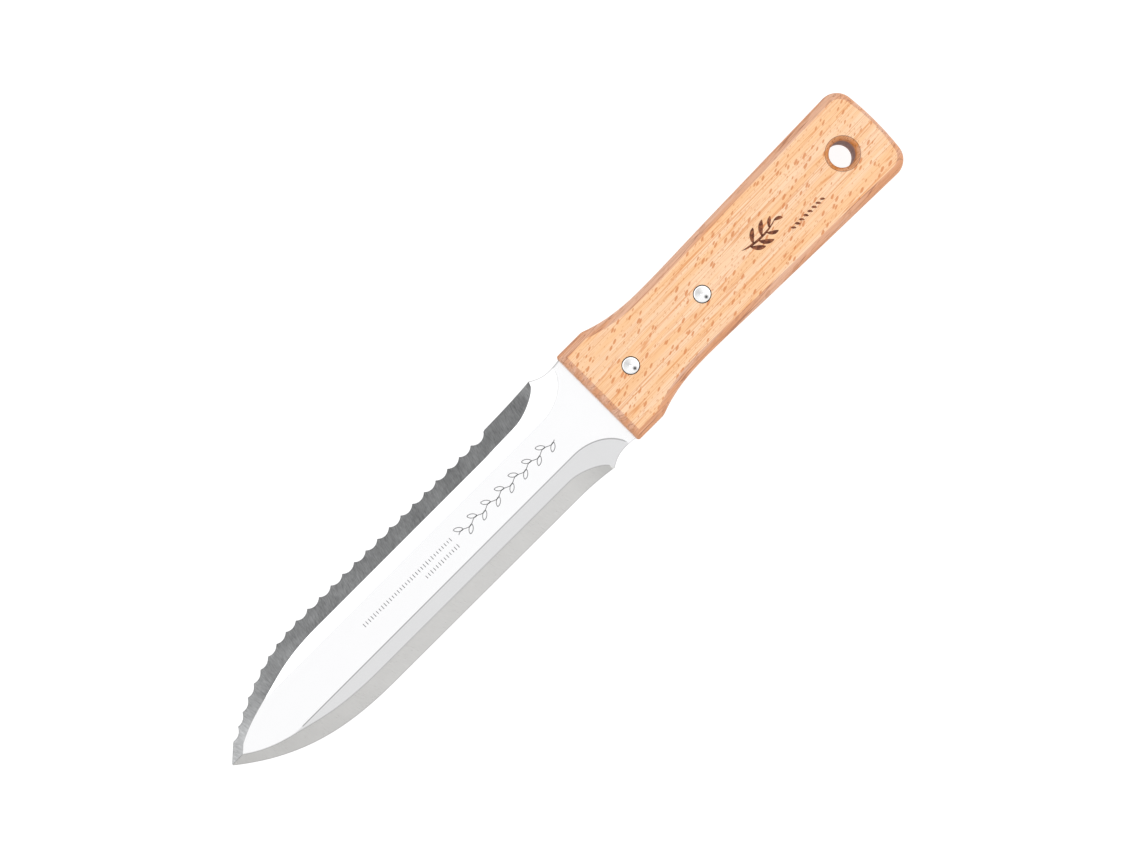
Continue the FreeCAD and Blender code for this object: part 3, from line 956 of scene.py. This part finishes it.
def handle_outline(side_band, butt_band):
    """The handle's outside and the border of its flat face, point for point, all the way round."""
    steps = FRONT_STEPS
    front = np.stack([np.zeros(steps), np.linspace(0.0, FRONT_HALF - FRONT_CORNER, steps)], axis=1)
    turn = np.linspace(0.0, math.pi / 2, 6)[1:]
    corner = np.array([-FRONT_CORNER, FRONT_HALF - FRONT_CORNER])
    corner = corner + FRONT_CORNER * np.stack([np.cos(turn), np.sin(turn)], axis=1)
    flare = np.stack([np.linspace(-FRONT_CORNER, BROW[0][0], 7), np.full(7, FRONT_HALF)], axis=1)
    inner_corner = np.array([-side_band, FRONT_HALF - side_band])
    front_inner = np.stack([np.full(steps, -side_band), np.linspace(0.0, inner_corner[1], steps)], axis=1)
    corner_inner = np.repeat(inner_corner[None], len(corner), axis=0)
    flare_inner = np.stack([np.linspace(-side_band, BROW[0][0], 7), np.full(7, inner_corner[1])], axis=1)
    side, butt_corner, butt = butt_outline()
    rest = joined(flare[-2:], bezier(BROW, 6), bezier(WAIST, 22), bezier(SWELL, 16), side, butt_corner, butt)
    count = len(rest)
    band = np.full(count, side_band)
    taper = np.linspace(0.0, 1.0, len(butt_corner) + len(butt) - 1)
    taper = taper * taper * (3 - 2 * taper)
    band[count - len(taper):] = side_band + (butt_band - side_band) * taper
    inward = side_normals(rest)
    rest_inner = rest + inward * band[:, None]
    outside = np.concatenate([front, corner, flare[1:-1], rest[1:]])
    border = np.concatenate([front_inner, corner_inner, flare_inner[1:-1], rest_inner[1:]])
    outside = np.concatenate([outside, outside[-2:0:-1] * (1, -1)])
    border = np.concatenate([border, border[-2:0:-1] * (1, -1)])
    return outside, border


def rounding(outside, border, face_z, outward, depth):
    """Rings from the crisp border of the flat face, over the rounding, to the upright side."""
    first_sine, first_cosine = math.sin(ROUNDING_START), math.cos(ROUNDING_START)
    rings = []
    for turn in np.linspace(ROUNDING_START, math.pi / 2, 9):
        share = (math.sin(turn) - first_sine) / (1 - first_sine)
        drop = depth * (first_cosine - math.cos(turn)) / first_cosine
        rings.append(at_height(border + (outside - border) * share, face_z - outward * drop))
    return rings


def hole_rings(face_z, outward):
    """The flared mouth of the hanging hole, from the face inwards."""
    station = HOLE_FROM_BUTT - HANDLE_LENGTH
    end = math.asin(MOUTH_DEPTH / MOUTH_ARC)
    rings = []
    for turn in (end, end - MOUTH_RIM_TURN, *np.linspace(end - 2 * MOUTH_RIM_TURN, 0.0, 8)):
        radius = HOLE_RADIUS + MOUTH_ARC * (1 - math.cos(turn))
        depth = MOUTH_DEPTH - MOUTH_ARC * math.sin(turn)
        rings.append(circle(station, 0, radius, face_z - outward * depth))
    return rings


class HORIHORI_OT_handle(bpy.types.Operator):
    """Shape the beech handle, with its kerf for the tang, its rivet holes and its hanging hole"""

    bl_idname = "hori_hori.handle"
    bl_label = "Handle"

    def execute(self, context):
        looks = context.scene.hori_hori_handle
        outside, border = handle_outline(looks.side_band / MM, looks.butt_band / MM)
        kerf_levels = (FACE_Z, FACE_Z - STEEL)
        depth = looks.side_band / MM
        shell = Shell()
        mouths = []
        for face_z, outward, kerf_z in ((TOP_Z, 1, kerf_levels[0]), (0.0, -1, kerf_levels[1])):
            rings = rounding(outside, border, face_z, outward, depth)
            # The rounding takes the browner rounded-over finish: partly the routed grain, partly painted
            # shade where it turns away from the light.
            for ring, after in zip(rings, rings[1:]):
                shell.band(ring, after, ROUND_SHADED_FINISH)
            shell.band(rings[-1], at_height(outside, kerf_z), ROUND_SHADED_FINISH)
            mouth = hole_rings(face_z, outward)
            mouths.append(mouth[-1])
            # The first narrow band of the mouth takes the dark drilled finish: a painted dark line along its
            # crisp border.
            shell.band(mouth[0], mouth[1], BORE_SHADED_FINISH)
            for ring, after in zip(mouth[1:], mouth[2:]):
                shell.band(ring, after, END_FINISH)
            sinks = [circle(station, 0, SINK_RADIUS, face_z) for station in RIVET_STATIONS]
            shell.sheet(rings[0], [mouth[0], *sinks], FLAT_FINISH)
            floor_z = face_z - outward * SINK_DEPTH
            for station, sink in zip(RIVET_STATIONS, sinks):
                floor = circle(station, 0, SINK_RADIUS, floor_z)
                bore = circle(station, 0, BORE_RADIUS, floor_z)
                # The counterbores take the dark drilled finish: painted shade in the recess round each rivet
                # head.
                shell.band(sink, floor, BORE_SHADED_FINISH)
                shell.band(floor, bore, BORE_SHADED_FINISH)
                shell.band(bore, circle(station, 0, BORE_RADIUS, kerf_z), BORE_SHADED_FINISH)
        # The hanging hole's wall is a mauve grey: painted shadow inside the hole.
        shell.band(mouths[0], mouths[1], SHADED_WALL_OF_HOLE)
        # The upright sides take the rounded-over finish too, with its painted shade.
        in_kerf = outside[:, 0] > -KERF_LENGTH - 0.001
        for at in range(len(outside)):
            after = (at + 1) % len(outside)
            if not (in_kerf[at] and in_kerf[after]):
                pair = outside[[at, after]]
                upper, lower = (at_height(pair, level) for level in kerf_levels)
                shell.face([upper[0], upper[1], lower[1], lower[0]], ROUND_SHADED_FINISH)
        first = int(np.argmin(in_kerf))
        slot = np.roll(outside, -first, axis=0)
        slot = slot[np.roll(in_kerf, -first)]
        upper, lower = (at_height(slot[[0, -1]], level) for level in kerf_levels)
        shell.band(upper, lower, BORE_SHADED_FINISH, closed=False)
        for level in kerf_levels:
            bores = [circle(station, 0, BORE_RADIUS, level) for station in RIVET_STATIONS]
            shell.sheet(at_height(slot, level), bores, BORE_SHADED_FINISH)
        ray = looks.ray_colour
        size = looks.ray_length / MM
        # Steamed beech, planed flat: a pale orange ground, thin lines along the grain and short slanting
        # flecks, drawn a little large so that they show. Rounded over by a router, it is browner and
        # streaked, partly from its grain and partly as painted shade, since the rounding and the sides turn
        # away from the light. Reamed across its grain at the hole's mouth, it is a deeper orange. Drilled,
        # in the counterbores, the kerf and along the mouth's crisp border, it is dark: painted shade in the
        # recesses and a painted dark line. Bored, in the hanging hole's wall, it is a dull mauve grey:
        # painted shadow inside the hole. Each has the colours of its ground, rays and lines, its roughness,
        # the spacing of its rays, and how strongly its lines and its rays show.
        router_and_shade = (linear("DDA27A"), linear("B0704A"), linear("A2674A"))
        reamer = (linear("DC924E"), linear("A8642F"), linear("A8642F"))
        drill_and_shade = (linear("80461F"), linear("5A3418"), linear("4A2A14"))
        borer_shadow = (linear("B28C84"), linear("7C584C"), linear("7C584C"))
        piece = shell.piece("handle_beech_grip", [
            beech("beech, planed", looks.wood_colour, ray, linear("DC8C4C"), 0.5, size, 0.75, 0.8),
            beech("beech, rounded over, painted shade", *router_and_shade, 0.55, size * 2, 0.85, 0.3),
            beech("beech, reamed end grain", *reamer, 0.6, 1.5, 0.7, 0.8),
            beech("beech, drilled, painted shade", *drill_and_shade, 0.7, 1.5, 0.5, 0.5),
            beech("beech, bored, painted shadow", *borer_shadow, 0.7, 2.5, 0.5, 0.3),
        ], 24)
        finish_piece(piece, ["handle"])
        return {"FINISHED"}


# ---- Repeats ----

def repeat_tree():
    """Copies its geometry along a line, each copy shrunk across by chance, as one mesh in one material."""
    tree = bpy.data.node_groups.new("Row of copies", "GeometryNodeTree")
    sockets = (
        ("Geometry", "NodeSocketGeometry"),
        ("Count", "NodeSocketInt"),
        ("Start", "NodeSocketVector"),
        ("Step", "NodeSocketVector"),
        ("Least width", "NodeSocketFloat"),
        ("Seed", "NodeSocketInt"),
        ("Finish", "NodeSocketMaterial"),
    )
    for name, kind in sockets:
        tree.interface.new_socket(name=name, in_out="INPUT", socket_type=kind)
    tree.interface.new_socket(name="Geometry", in_out="OUTPUT", socket_type="NodeSocketGeometry")
    source = add_node(tree, "NodeGroupInput").outputs
    line = add_node(
        tree, "GeometryNodeMeshLine",
        {"Count": source["Count"], "Start Location": source["Start"], "Offset": source["Step"]},
    )
    chance = add_node(
        tree, "FunctionNodeRandomValue",
        {2: source["Least width"], 3: 1.0, "Seed": source["Seed"]}, data_type="FLOAT",
    )
    size = add_node(tree, "ShaderNodeCombineXYZ", {0: 1.0, 1: chance.outputs[1], 2: 1.0})
    copies = add_node(
        tree, "GeometryNodeInstanceOnPoints",
        {"Points": line, "Instance": source["Geometry"], "Scale": size},
    )
    real = add_node(tree, "GeometryNodeRealizeInstances", {0: copies})
    done = add_node(
        tree, "GeometryNodeSetMaterial", {"Geometry": real, "Material": source["Finish"]},
    )
    add_node(tree, "NodeGroupOutput", {0: done})
    return tree


def repeated(piece, material, count, start, step, least_width=1.0, seed=0):
    """Turns a piece made about the origin into a row of copies, as a plain mesh."""
    tree = bpy.data.node_groups.get("Row of copies") or repeat_tree()
    modifier = piece.modifiers.new("Row of copies", "NODES")
    modifier.node_group = tree
    values = {
        "Count": count,
        "Start": [part * MM for part in start],
        "Step": [part * MM for part in step],
        "Least width": least_width,
        "Seed": seed,
        "Finish": material,
    }
    for item in tree.interface.items_tree:
        if item.in_out == "INPUT" and item.name in values:
            modifier[item.identifier] = values[item.name]
    depsgraph = bpy.context.evaluated_depsgraph_get()
    mesh = bpy.data.meshes.new_from_object(piece.evaluated_get(depsgraph), depsgraph=depsgraph)
    piece.modifiers.clear()
    spare = piece.data
    piece.data = mesh
    bpy.data.meshes.remove(spare)
    mesh.name = piece.name
    return piece


# ---- The rivets ----

def head_reflection_and_shade(places):
    """How much darker a rivet's face is painted at each place: a grey fan and a dark spot near the rim,
    painted reflections, and the rim, painted shade.
    """
    x, y = places[:, 0], places[:, 1]
    radius = np.hypot(x, y)
    fan = FAN_SHARE * np.clip(np.cos(np.arctan2(x, -y) - FAN_TURN), 0.0, 1.0) ** 2
    fan = fan * np.clip(radius / FAN_START, 0.0, 1.0) * (radius < FAN_END)
    off = np.hypot(x - SPOT_PLACE[0], y - SPOT_PLACE[1])
    spot = SPOT_SHARE * np.clip((SPOT_RADII[1] - off) / (SPOT_RADII[1] - SPOT_RADII[0]), 0.0, 1.0)
    rim = RIM_SHARE * (radius > RIM_START)
    return np.maximum(np.maximum(fan, spot), rim)


def turned(profile):
    """A closed shell turned about the Z axis from radii and heights; its ends lie on the axis."""
    shell = Shell()
    rings = [circle(-FRONT_X, 0, radius, height, HEAD_STEPS) for radius, height in profile]
    for ring, after in zip(rings, rings[1:]):
        shell.band(ring, after)
        # Painted reflections and painted shade on the head's face.
        shell.paint_shade(ring, head_reflection_and_shade(ring))
    return shell


def head_profile(shank):
    """The flush head, from the middle of its slightly domed face, over its edge, to its shank."""
    rows = [(radius, HEAD_HEIGHT - depth) for radius, depth in HEAD_DIMPLE]
    flat = HEAD_RADIUS - HEAD_EDGE
    for share in np.linspace(0.3, 1.0, 6):
        rows.append((flat * share, HEAD_HEIGHT - HEAD_DOME * share ** 2))
    for turn in np.radians([22, 45, 67, 90]):
        drop = HEAD_DOME + HEAD_EDGE * (1 - math.cos(turn))
        rows.append((flat + HEAD_EDGE * math.sin(turn), HEAD_HEIGHT - drop))
    return rows + [(HEAD_RADIUS, 0.0), (shank, 0.0)]


class HORIHORI_OT_rivets(bpy.types.Operator):
    """Turn the two rivets: solid halves from the face, tubular halves from the back"""

    bl_idname = "hori_hori.rivets"
    bl_label = "Rivets"

    def execute(self, context):
        # Stainless steel bar, turned: near white, with a painted reflection of a grey fan and one dark spot,
        # and a painted shaded rim.
        bright = steel("stainless steel, turned", linear("F6F6F6")[:3], 0.18, 0.5 * MM, 0.0, 0.05)
        step = (RIVET_STATIONS[1] - RIVET_STATIONS[0], 0, 0)
        end = PIN_END - TOP_Z + SINK_DEPTH
        pin = head_profile(PIN_RADIUS)
        pin += [(PIN_RADIUS, end + PIN_CHAMFER), (PIN_RADIUS - PIN_CHAMFER, end), (0.0, end)]
        barrel = head_profile(BARREL_RADIUS)
        barrel += [(BARREL_RADIUS, SINK_DEPTH - BARREL_TOP), (PIN_RADIUS, SINK_DEPTH - BARREL_TOP)]
        barrel += [(PIN_RADIUS, SINK_DEPTH - BARREL_FLOOR), (0.0, SINK_DEPTH - BARREL_FLOOR)]
        halves = (
            ("rivet_pins", pin, 1, TOP_Z - SINK_DEPTH, "_male"),
            ("rivet_barrels", barrel, -1, SINK_DEPTH, "_female"),
        )
        for name, profile, outward, height, half in halves:
            shell = turned([(radius, outward * rise) for radius, rise in profile])
            piece = shell.piece(name, [bright], 30)
            repeated(piece, bright, 2, (FRONT_X + RIVET_STATIONS[0], 0, height), step)
            finish_piece(piece, ["front_rivet" + half, "rear_rivet" + half])
        return {"FINISHED"}


# ---- Marks ----

def plate(shell, left, right):
    """A thin plate between two runs of places, closed all round, its faces just above and below Z 0."""

    def level(run, height):
        return np.column_stack([run, np.full(len(run), height)])

    upper = (level(left, MARK_RISE), level(right, MARK_RISE))
    lower = (level(left, -MARK_RISE), level(right, -MARK_RISE))
    shell.band(*upper, closed=False)
    shell.band(*lower, closed=False)
    shell.band(upper[0], lower[0], closed=False)
    shell.band(upper[1], lower[1], closed=False)
    for end in (0, -1):
        shell.face([upper[0][end], upper[1][end], lower[1][end], lower[0][end]])


def stroke(shell, poles, width, swell=0.5):
    """A brush stroke along a curve, widest at a share of its length and drawn out at both ends."""
    middle = bezier(poles, 16)
    share = np.linspace(0.0, 1.0, 17)
    peak = np.where(share < swell, share / swell, (1 - share) / (1 - swell))
    half = width / 2 * (BLUNT_END + (1 - BLUNT_END) * np.sin(peak * math.pi / 2) ** 0.8)
    across = side_normals(middle) * half[:, None]
    plate(shell, middle + across, middle - across)


def outlined_leaf(shell, base, angle, length, width, line):
    """An outlined leaf, pointed at both ends, that grows from its base at an angle."""
    share = np.linspace(0.0, math.pi, 17)
    turn = np.array([[math.cos(angle), math.sin(angle)], [-math.sin(angle), math.cos(angle)]])
    for side in (1, -1):
        outer = np.stack([-length / 2 * np.cos(share), side * width / 2 * np.sin(share) ** 1.3], axis=1)
        inner = outer * (1 - 2.6 * line / length, 1 - 2 * line / width)
        centre = (length / 2, 0.0)
        plate(shell, (outer + centre) @ turn + base, (inner + centre) @ turn + base)


def vine(pitch, width, line):
    """One length of a vine: a waving stem and two leaves."""
    shell = Shell()
    along = np.linspace(0.0, pitch, 25)
    wave = np.stack([along, VINE_WAVE * width * np.sin(along * 2 * math.pi / pitch)], axis=1)
    across = side_normals(wave) * line / 2
    plate(shell, wave + across, wave - across)
    leaf = pitch * LEAF_LENGTH
    for start, side in ((0.1, 1), (0.6, -1)):
        base = (pitch * start, side * LEAF_OFFSET * width)
        outlined_leaf(shell, base, side * LEAF_ANGLE, leaf, leaf * LEAF_BREADTH, line)
    return shell


class HORIHORI_OT_etching(bpy.types.Operator):
    """Etch a vine and two rows of fine ticks on the flat of the blade"""

    bl_idname = "hori_hori.etching"
    bl_label = "Etching"

    def execute(self, context):
        looks = context.scene.hori_hori_marks
        # The blade's steel, etched by acid: a matt grey line.
        etched = steel("stainless steel, etched", looks.etch_colour, 0.55, 0.5 * MM, 0.0, 0.2)
        pitch = VINE_LENGTH / looks.leaf_pairs
        stem = vine(pitch, VINE_WIDTH, ETCH_WIDTH).piece("etched_vine", [etched], 30)
        start = (FRONT_X + VINE_START[0], VINE_START[1], FACE_Z)
        repeated(stem, etched, looks.leaf_pairs, start, (pitch, 0, 0))
        finish_piece(stem)
        # Each row has its half width, its first station, its number of ticks and its seed.
        rows = (("etched_ticks_upper", -1.6, 115.5, 34, 3), ("etched_ticks_lower", 1.9, 87.6, 13, 8))
        for name, half, station, count, seed in rows:
            shell = Shell()
            tick = np.array([[share * ETCH_WIDTH / 2, -TICK_HALF] for share in (-1, 0, 1)])
            plate(shell, tick, tick * (1, -1))
            ticks = shell.piece(name, [etched], 30)
            start = (FRONT_X + station, half, FACE_Z)
            repeated(ticks, etched, count, start, (-TICK_PITCH, 0, 0), LEAST_WIDTH, seed)
            finish_piece(ticks)
        return {"FINISHED"}


class HORIHORI_OT_brand(bpy.types.Operator):
    """Burn a leafy sprig and a row of seeds into the handle"""

    bl_idname = "hori_hori.brand"
    bl_label = "Burned mark"

    def execute(self, context):
        looks = context.scene.hori_hori_marks
        # The handle's beech, branded with a hot iron: dark brown and matt, patchy where it pressed less.
        burned = charred("beech, branded", looks.char_colour)
        shell = Shell()
        stroke(shell, [(9.2, -0.9), (3.0, 1.2), (-3.0, 0.9), (-7.4, -0.8)], 0.85, 0.3)
        # Each leaf has its start, its bend, its end and its width.
        leaves = (
            ((6.0, 0.1), (4.8, 2.6), (1.9, 3.9), 1.75),
            ((2.4, 0.7), (1.4, 3.1), (-1.8, 4.3), 1.7),
            ((-1.6, 0.6), (-2.8, 2.6), (-5.2, 3.1), 1.4),
            ((4.4, 0.2), (3.6, -2.2), (0.6, -3.9), 1.7),
            ((0.4, 0.5), (-0.6, -2.0), (-3.6, -3.7), 1.7),
            ((-3.4, 0.1), (-4.6, -1.4), (-6.6, -2.6), 1.3),
            ((-6.4, -0.5), (-8.2, -0.4), (-9.4, 0.9), 1.3),
        )
        for start, bend, end, width in leaves:
            stroke(shell, [start, bend, end], width, 0.6)
        sprig = shell.piece("burned_sprig", [burned], 30)
        repeated(sprig, burned, 1, (FRONT_X + SPRIG_PLACE[0], SPRIG_PLACE[1], TOP_Z), (0, 0, 0))
        finish_piece(sprig)
        shell = Shell()
        stroke(shell, [(0.75, -0.75), (0.0, -0.2), (-0.6, 0.85)], 0.95)
        seeds = shell.piece("burned_seeds", [burned], 30)
        start = (FRONT_X + SEEDS_START[0], SEEDS_START[1], TOP_Z)
        repeated(seeds, burned, 8, start, (-SEED_PITCH, 0, 0), LEAST_WIDTH, 5)
        finish_piece(seeds)
        return {"FINISHED"}


# ---- The stage ----

def light_card(tree, direction, leans, levels):
    """A light level that changes from one to another as the way turns towards a direction."""
    way = add_node(tree, "ShaderNodeTexCoord").outputs["Generated"]
    lean = add_node(tree, "ShaderNodeVectorMath", {0: way, 1: direction}, operation="DOT_PRODUCT")
    inputs = {0: lean.outputs["Value"], 1: leans[0], 2: leans[1], 3: levels[0], 4: levels[1]}
    return add_node(tree, "ShaderNodeMapRange", inputs, interpolation_type="SMOOTHSTEP")


def studio_world():
    """Soft white light all round, calmer overhead and near the floor.

    A dark card stands low on the saw side, and a grey one on the knife side."""
    world = bpy.data.worlds.new("soft studio")
    bpy.context.scene.world = world
    world.use_nodes = True
    tree = world.node_tree
    tree.nodes.clear()
    up, saw_side, knife_side = (0.0, 0.0, 1.0), (-0.38, -0.92, 0.0), (0.6, 0.8, 0.0)
    light = light_card(tree, up, (0.93, 0.965), (FULL_LIGHT, CALM_LIGHT))
    near_floor = light_card(tree, up, (0.0, 0.45), (FLOOR_LIGHT, FULL_LIGHT))
    dark_card = light_card(tree, saw_side, (0.42, 0.76), (FULL_LIGHT, DARK_LIGHT))
    grey_card = light_card(tree, knife_side, (0.06, 0.22), (FULL_LIGHT, GREY_LIGHT))
    shade = light_card(tree, knife_side, (0.5, 1.05), (0.0, EXTRA_SHADE))
    grey_card = add_node(tree, "ShaderNodeMath", {0: grey_card, 1: shade}, operation="SUBTRACT")
    for card in (near_floor, dark_card, grey_card):
        light = add_node(tree, "ShaderNodeMath", {0: light, 1: card}, operation="MINIMUM")
    seen = add_node(tree, "ShaderNodeLightPath").outputs["Is Camera Ray"]
    strength = add_node(tree, "ShaderNodeMath", {0: light, 1: seen}, operation="MAXIMUM")
    background = add_node(tree, "ShaderNodeBackground", {"Strength": strength})
    add_node(tree, "ShaderNodeOutputWorld", {0: background})


class HORIHORI_OT_stage(bpy.types.Operator):
    """Lay out the plain floor, the soft light and the camera"""

    bl_idname = "hori_hori.stage"
    bl_label = "Stage"

    def execute(self, context):
        looks = context.scene.hori_hori_stage
        # Matt white paper, with a light of its own so that it shows almost no shadow.
        material, tree, surface = start_material("paper, matt white")
        surface.inputs["Base Color"].default_value = (*looks.floor_colour, 1.0)
        surface.inputs["Roughness"].default_value = 1.0
        surface.inputs["Specular IOR Level"].default_value = 0.0
        surface.inputs["Emission Color"].default_value = (1.0, 1.0, 1.0, 1.0)
        surface.inputs["Emission Strength"].default_value = PAPER_GLOW
        shell = Shell()
        signs = ((-1, -1), (1, -1), (1, 1), (-1, 1))
        shell.face([(x * FLOOR_REACH, y * FLOOR_REACH, FLOOR_Z) for x, y in signs])
        floor = shell.piece("plain_floor", [material], 30)
        studio_world()
        camera = bpy.data.objects.new("camera", bpy.data.cameras.new("camera"))
        context.scene.collection.objects.link(camera)
        context.scene.camera = camera
        camera.data.sensor_width = 36.0
        camera.data.lens = CAMERA_LENS
        camera.data.clip_end = 50.0
        over = [part * MM for part in CAMERA_OVER]
        camera.location = (*over, FACE_Z * MM + looks.camera_height)
        camera.rotation_euler = (0.0, 0.0, math.radians(135))
        context.scene.view_settings.view_transform = "Standard"
        return {"FINISHED"}


# ---- The add-on ----

class HORIHORI_PT_panel(bpy.types.Panel):
    """Lists the pieces of the knife"""

    bl_idname = "HORIHORI_PT_panel"
    bl_label = "Hori Hori"
    bl_space_type = "VIEW_3D"
    bl_region_type = "UI"
    bl_category = "Hori Hori"

    def draw(self, context):
        groups = (
            (context.scene.hori_hori_blade, (HORIHORI_OT_blade,)),
            (context.scene.hori_hori_handle, (HORIHORI_OT_handle, HORIHORI_OT_rivets)),
            (context.scene.hori_hori_marks, (HORIHORI_OT_etching, HORIHORI_OT_brand)),
            (context.scene.hori_hori_stage, (HORIHORI_OT_stage,)),
        )
        for looks, operators in groups:
            box = self.layout.box()
            for setting in looks.__annotations__:
                box.prop(looks, setting)
            for operator in operators:
                box.operator(operator.bl_idname)


LOOKS = {
    "hori_hori_blade": HoriHoriBladeLooks,
    "hori_hori_handle": HoriHoriHandleLooks,
    "hori_hori_marks": HoriHoriMarkLooks,
    "hori_hori_stage": HoriHoriStageLooks,
}
CLASSES = (
    *LOOKS.values(),
    HORIHORI_OT_blade,
    HORIHORI_OT_handle,
    HORIHORI_OT_rivets,
    HORIHORI_OT_etching,
    HORIHORI_OT_brand,
    HORIHORI_OT_stage,
    HORIHORI_PT_panel,
)


def register():
    for each in CLASSES:
        bpy.utils.register_class(each)
    for name, looks in LOOKS.items():
        setattr(bpy.types.Scene, name, PointerProperty(type=looks))


def unregister():
    for name in LOOKS:
        delattr(bpy.types.Scene, name)
    for each in reversed(CLASSES):
        bpy.utils.unregister_class(each)


def main():
    register()
    bpy.ops.hori_hori.stage()
    bpy.ops.hori_hori.blade()
    bpy.ops.hori_hori.handle()
    bpy.ops.hori_hori.rivets()
    bpy.ops.hori_hori.etching()
    bpy.ops.hori_hori.brand()


if __name__ == "__main__":
    main()
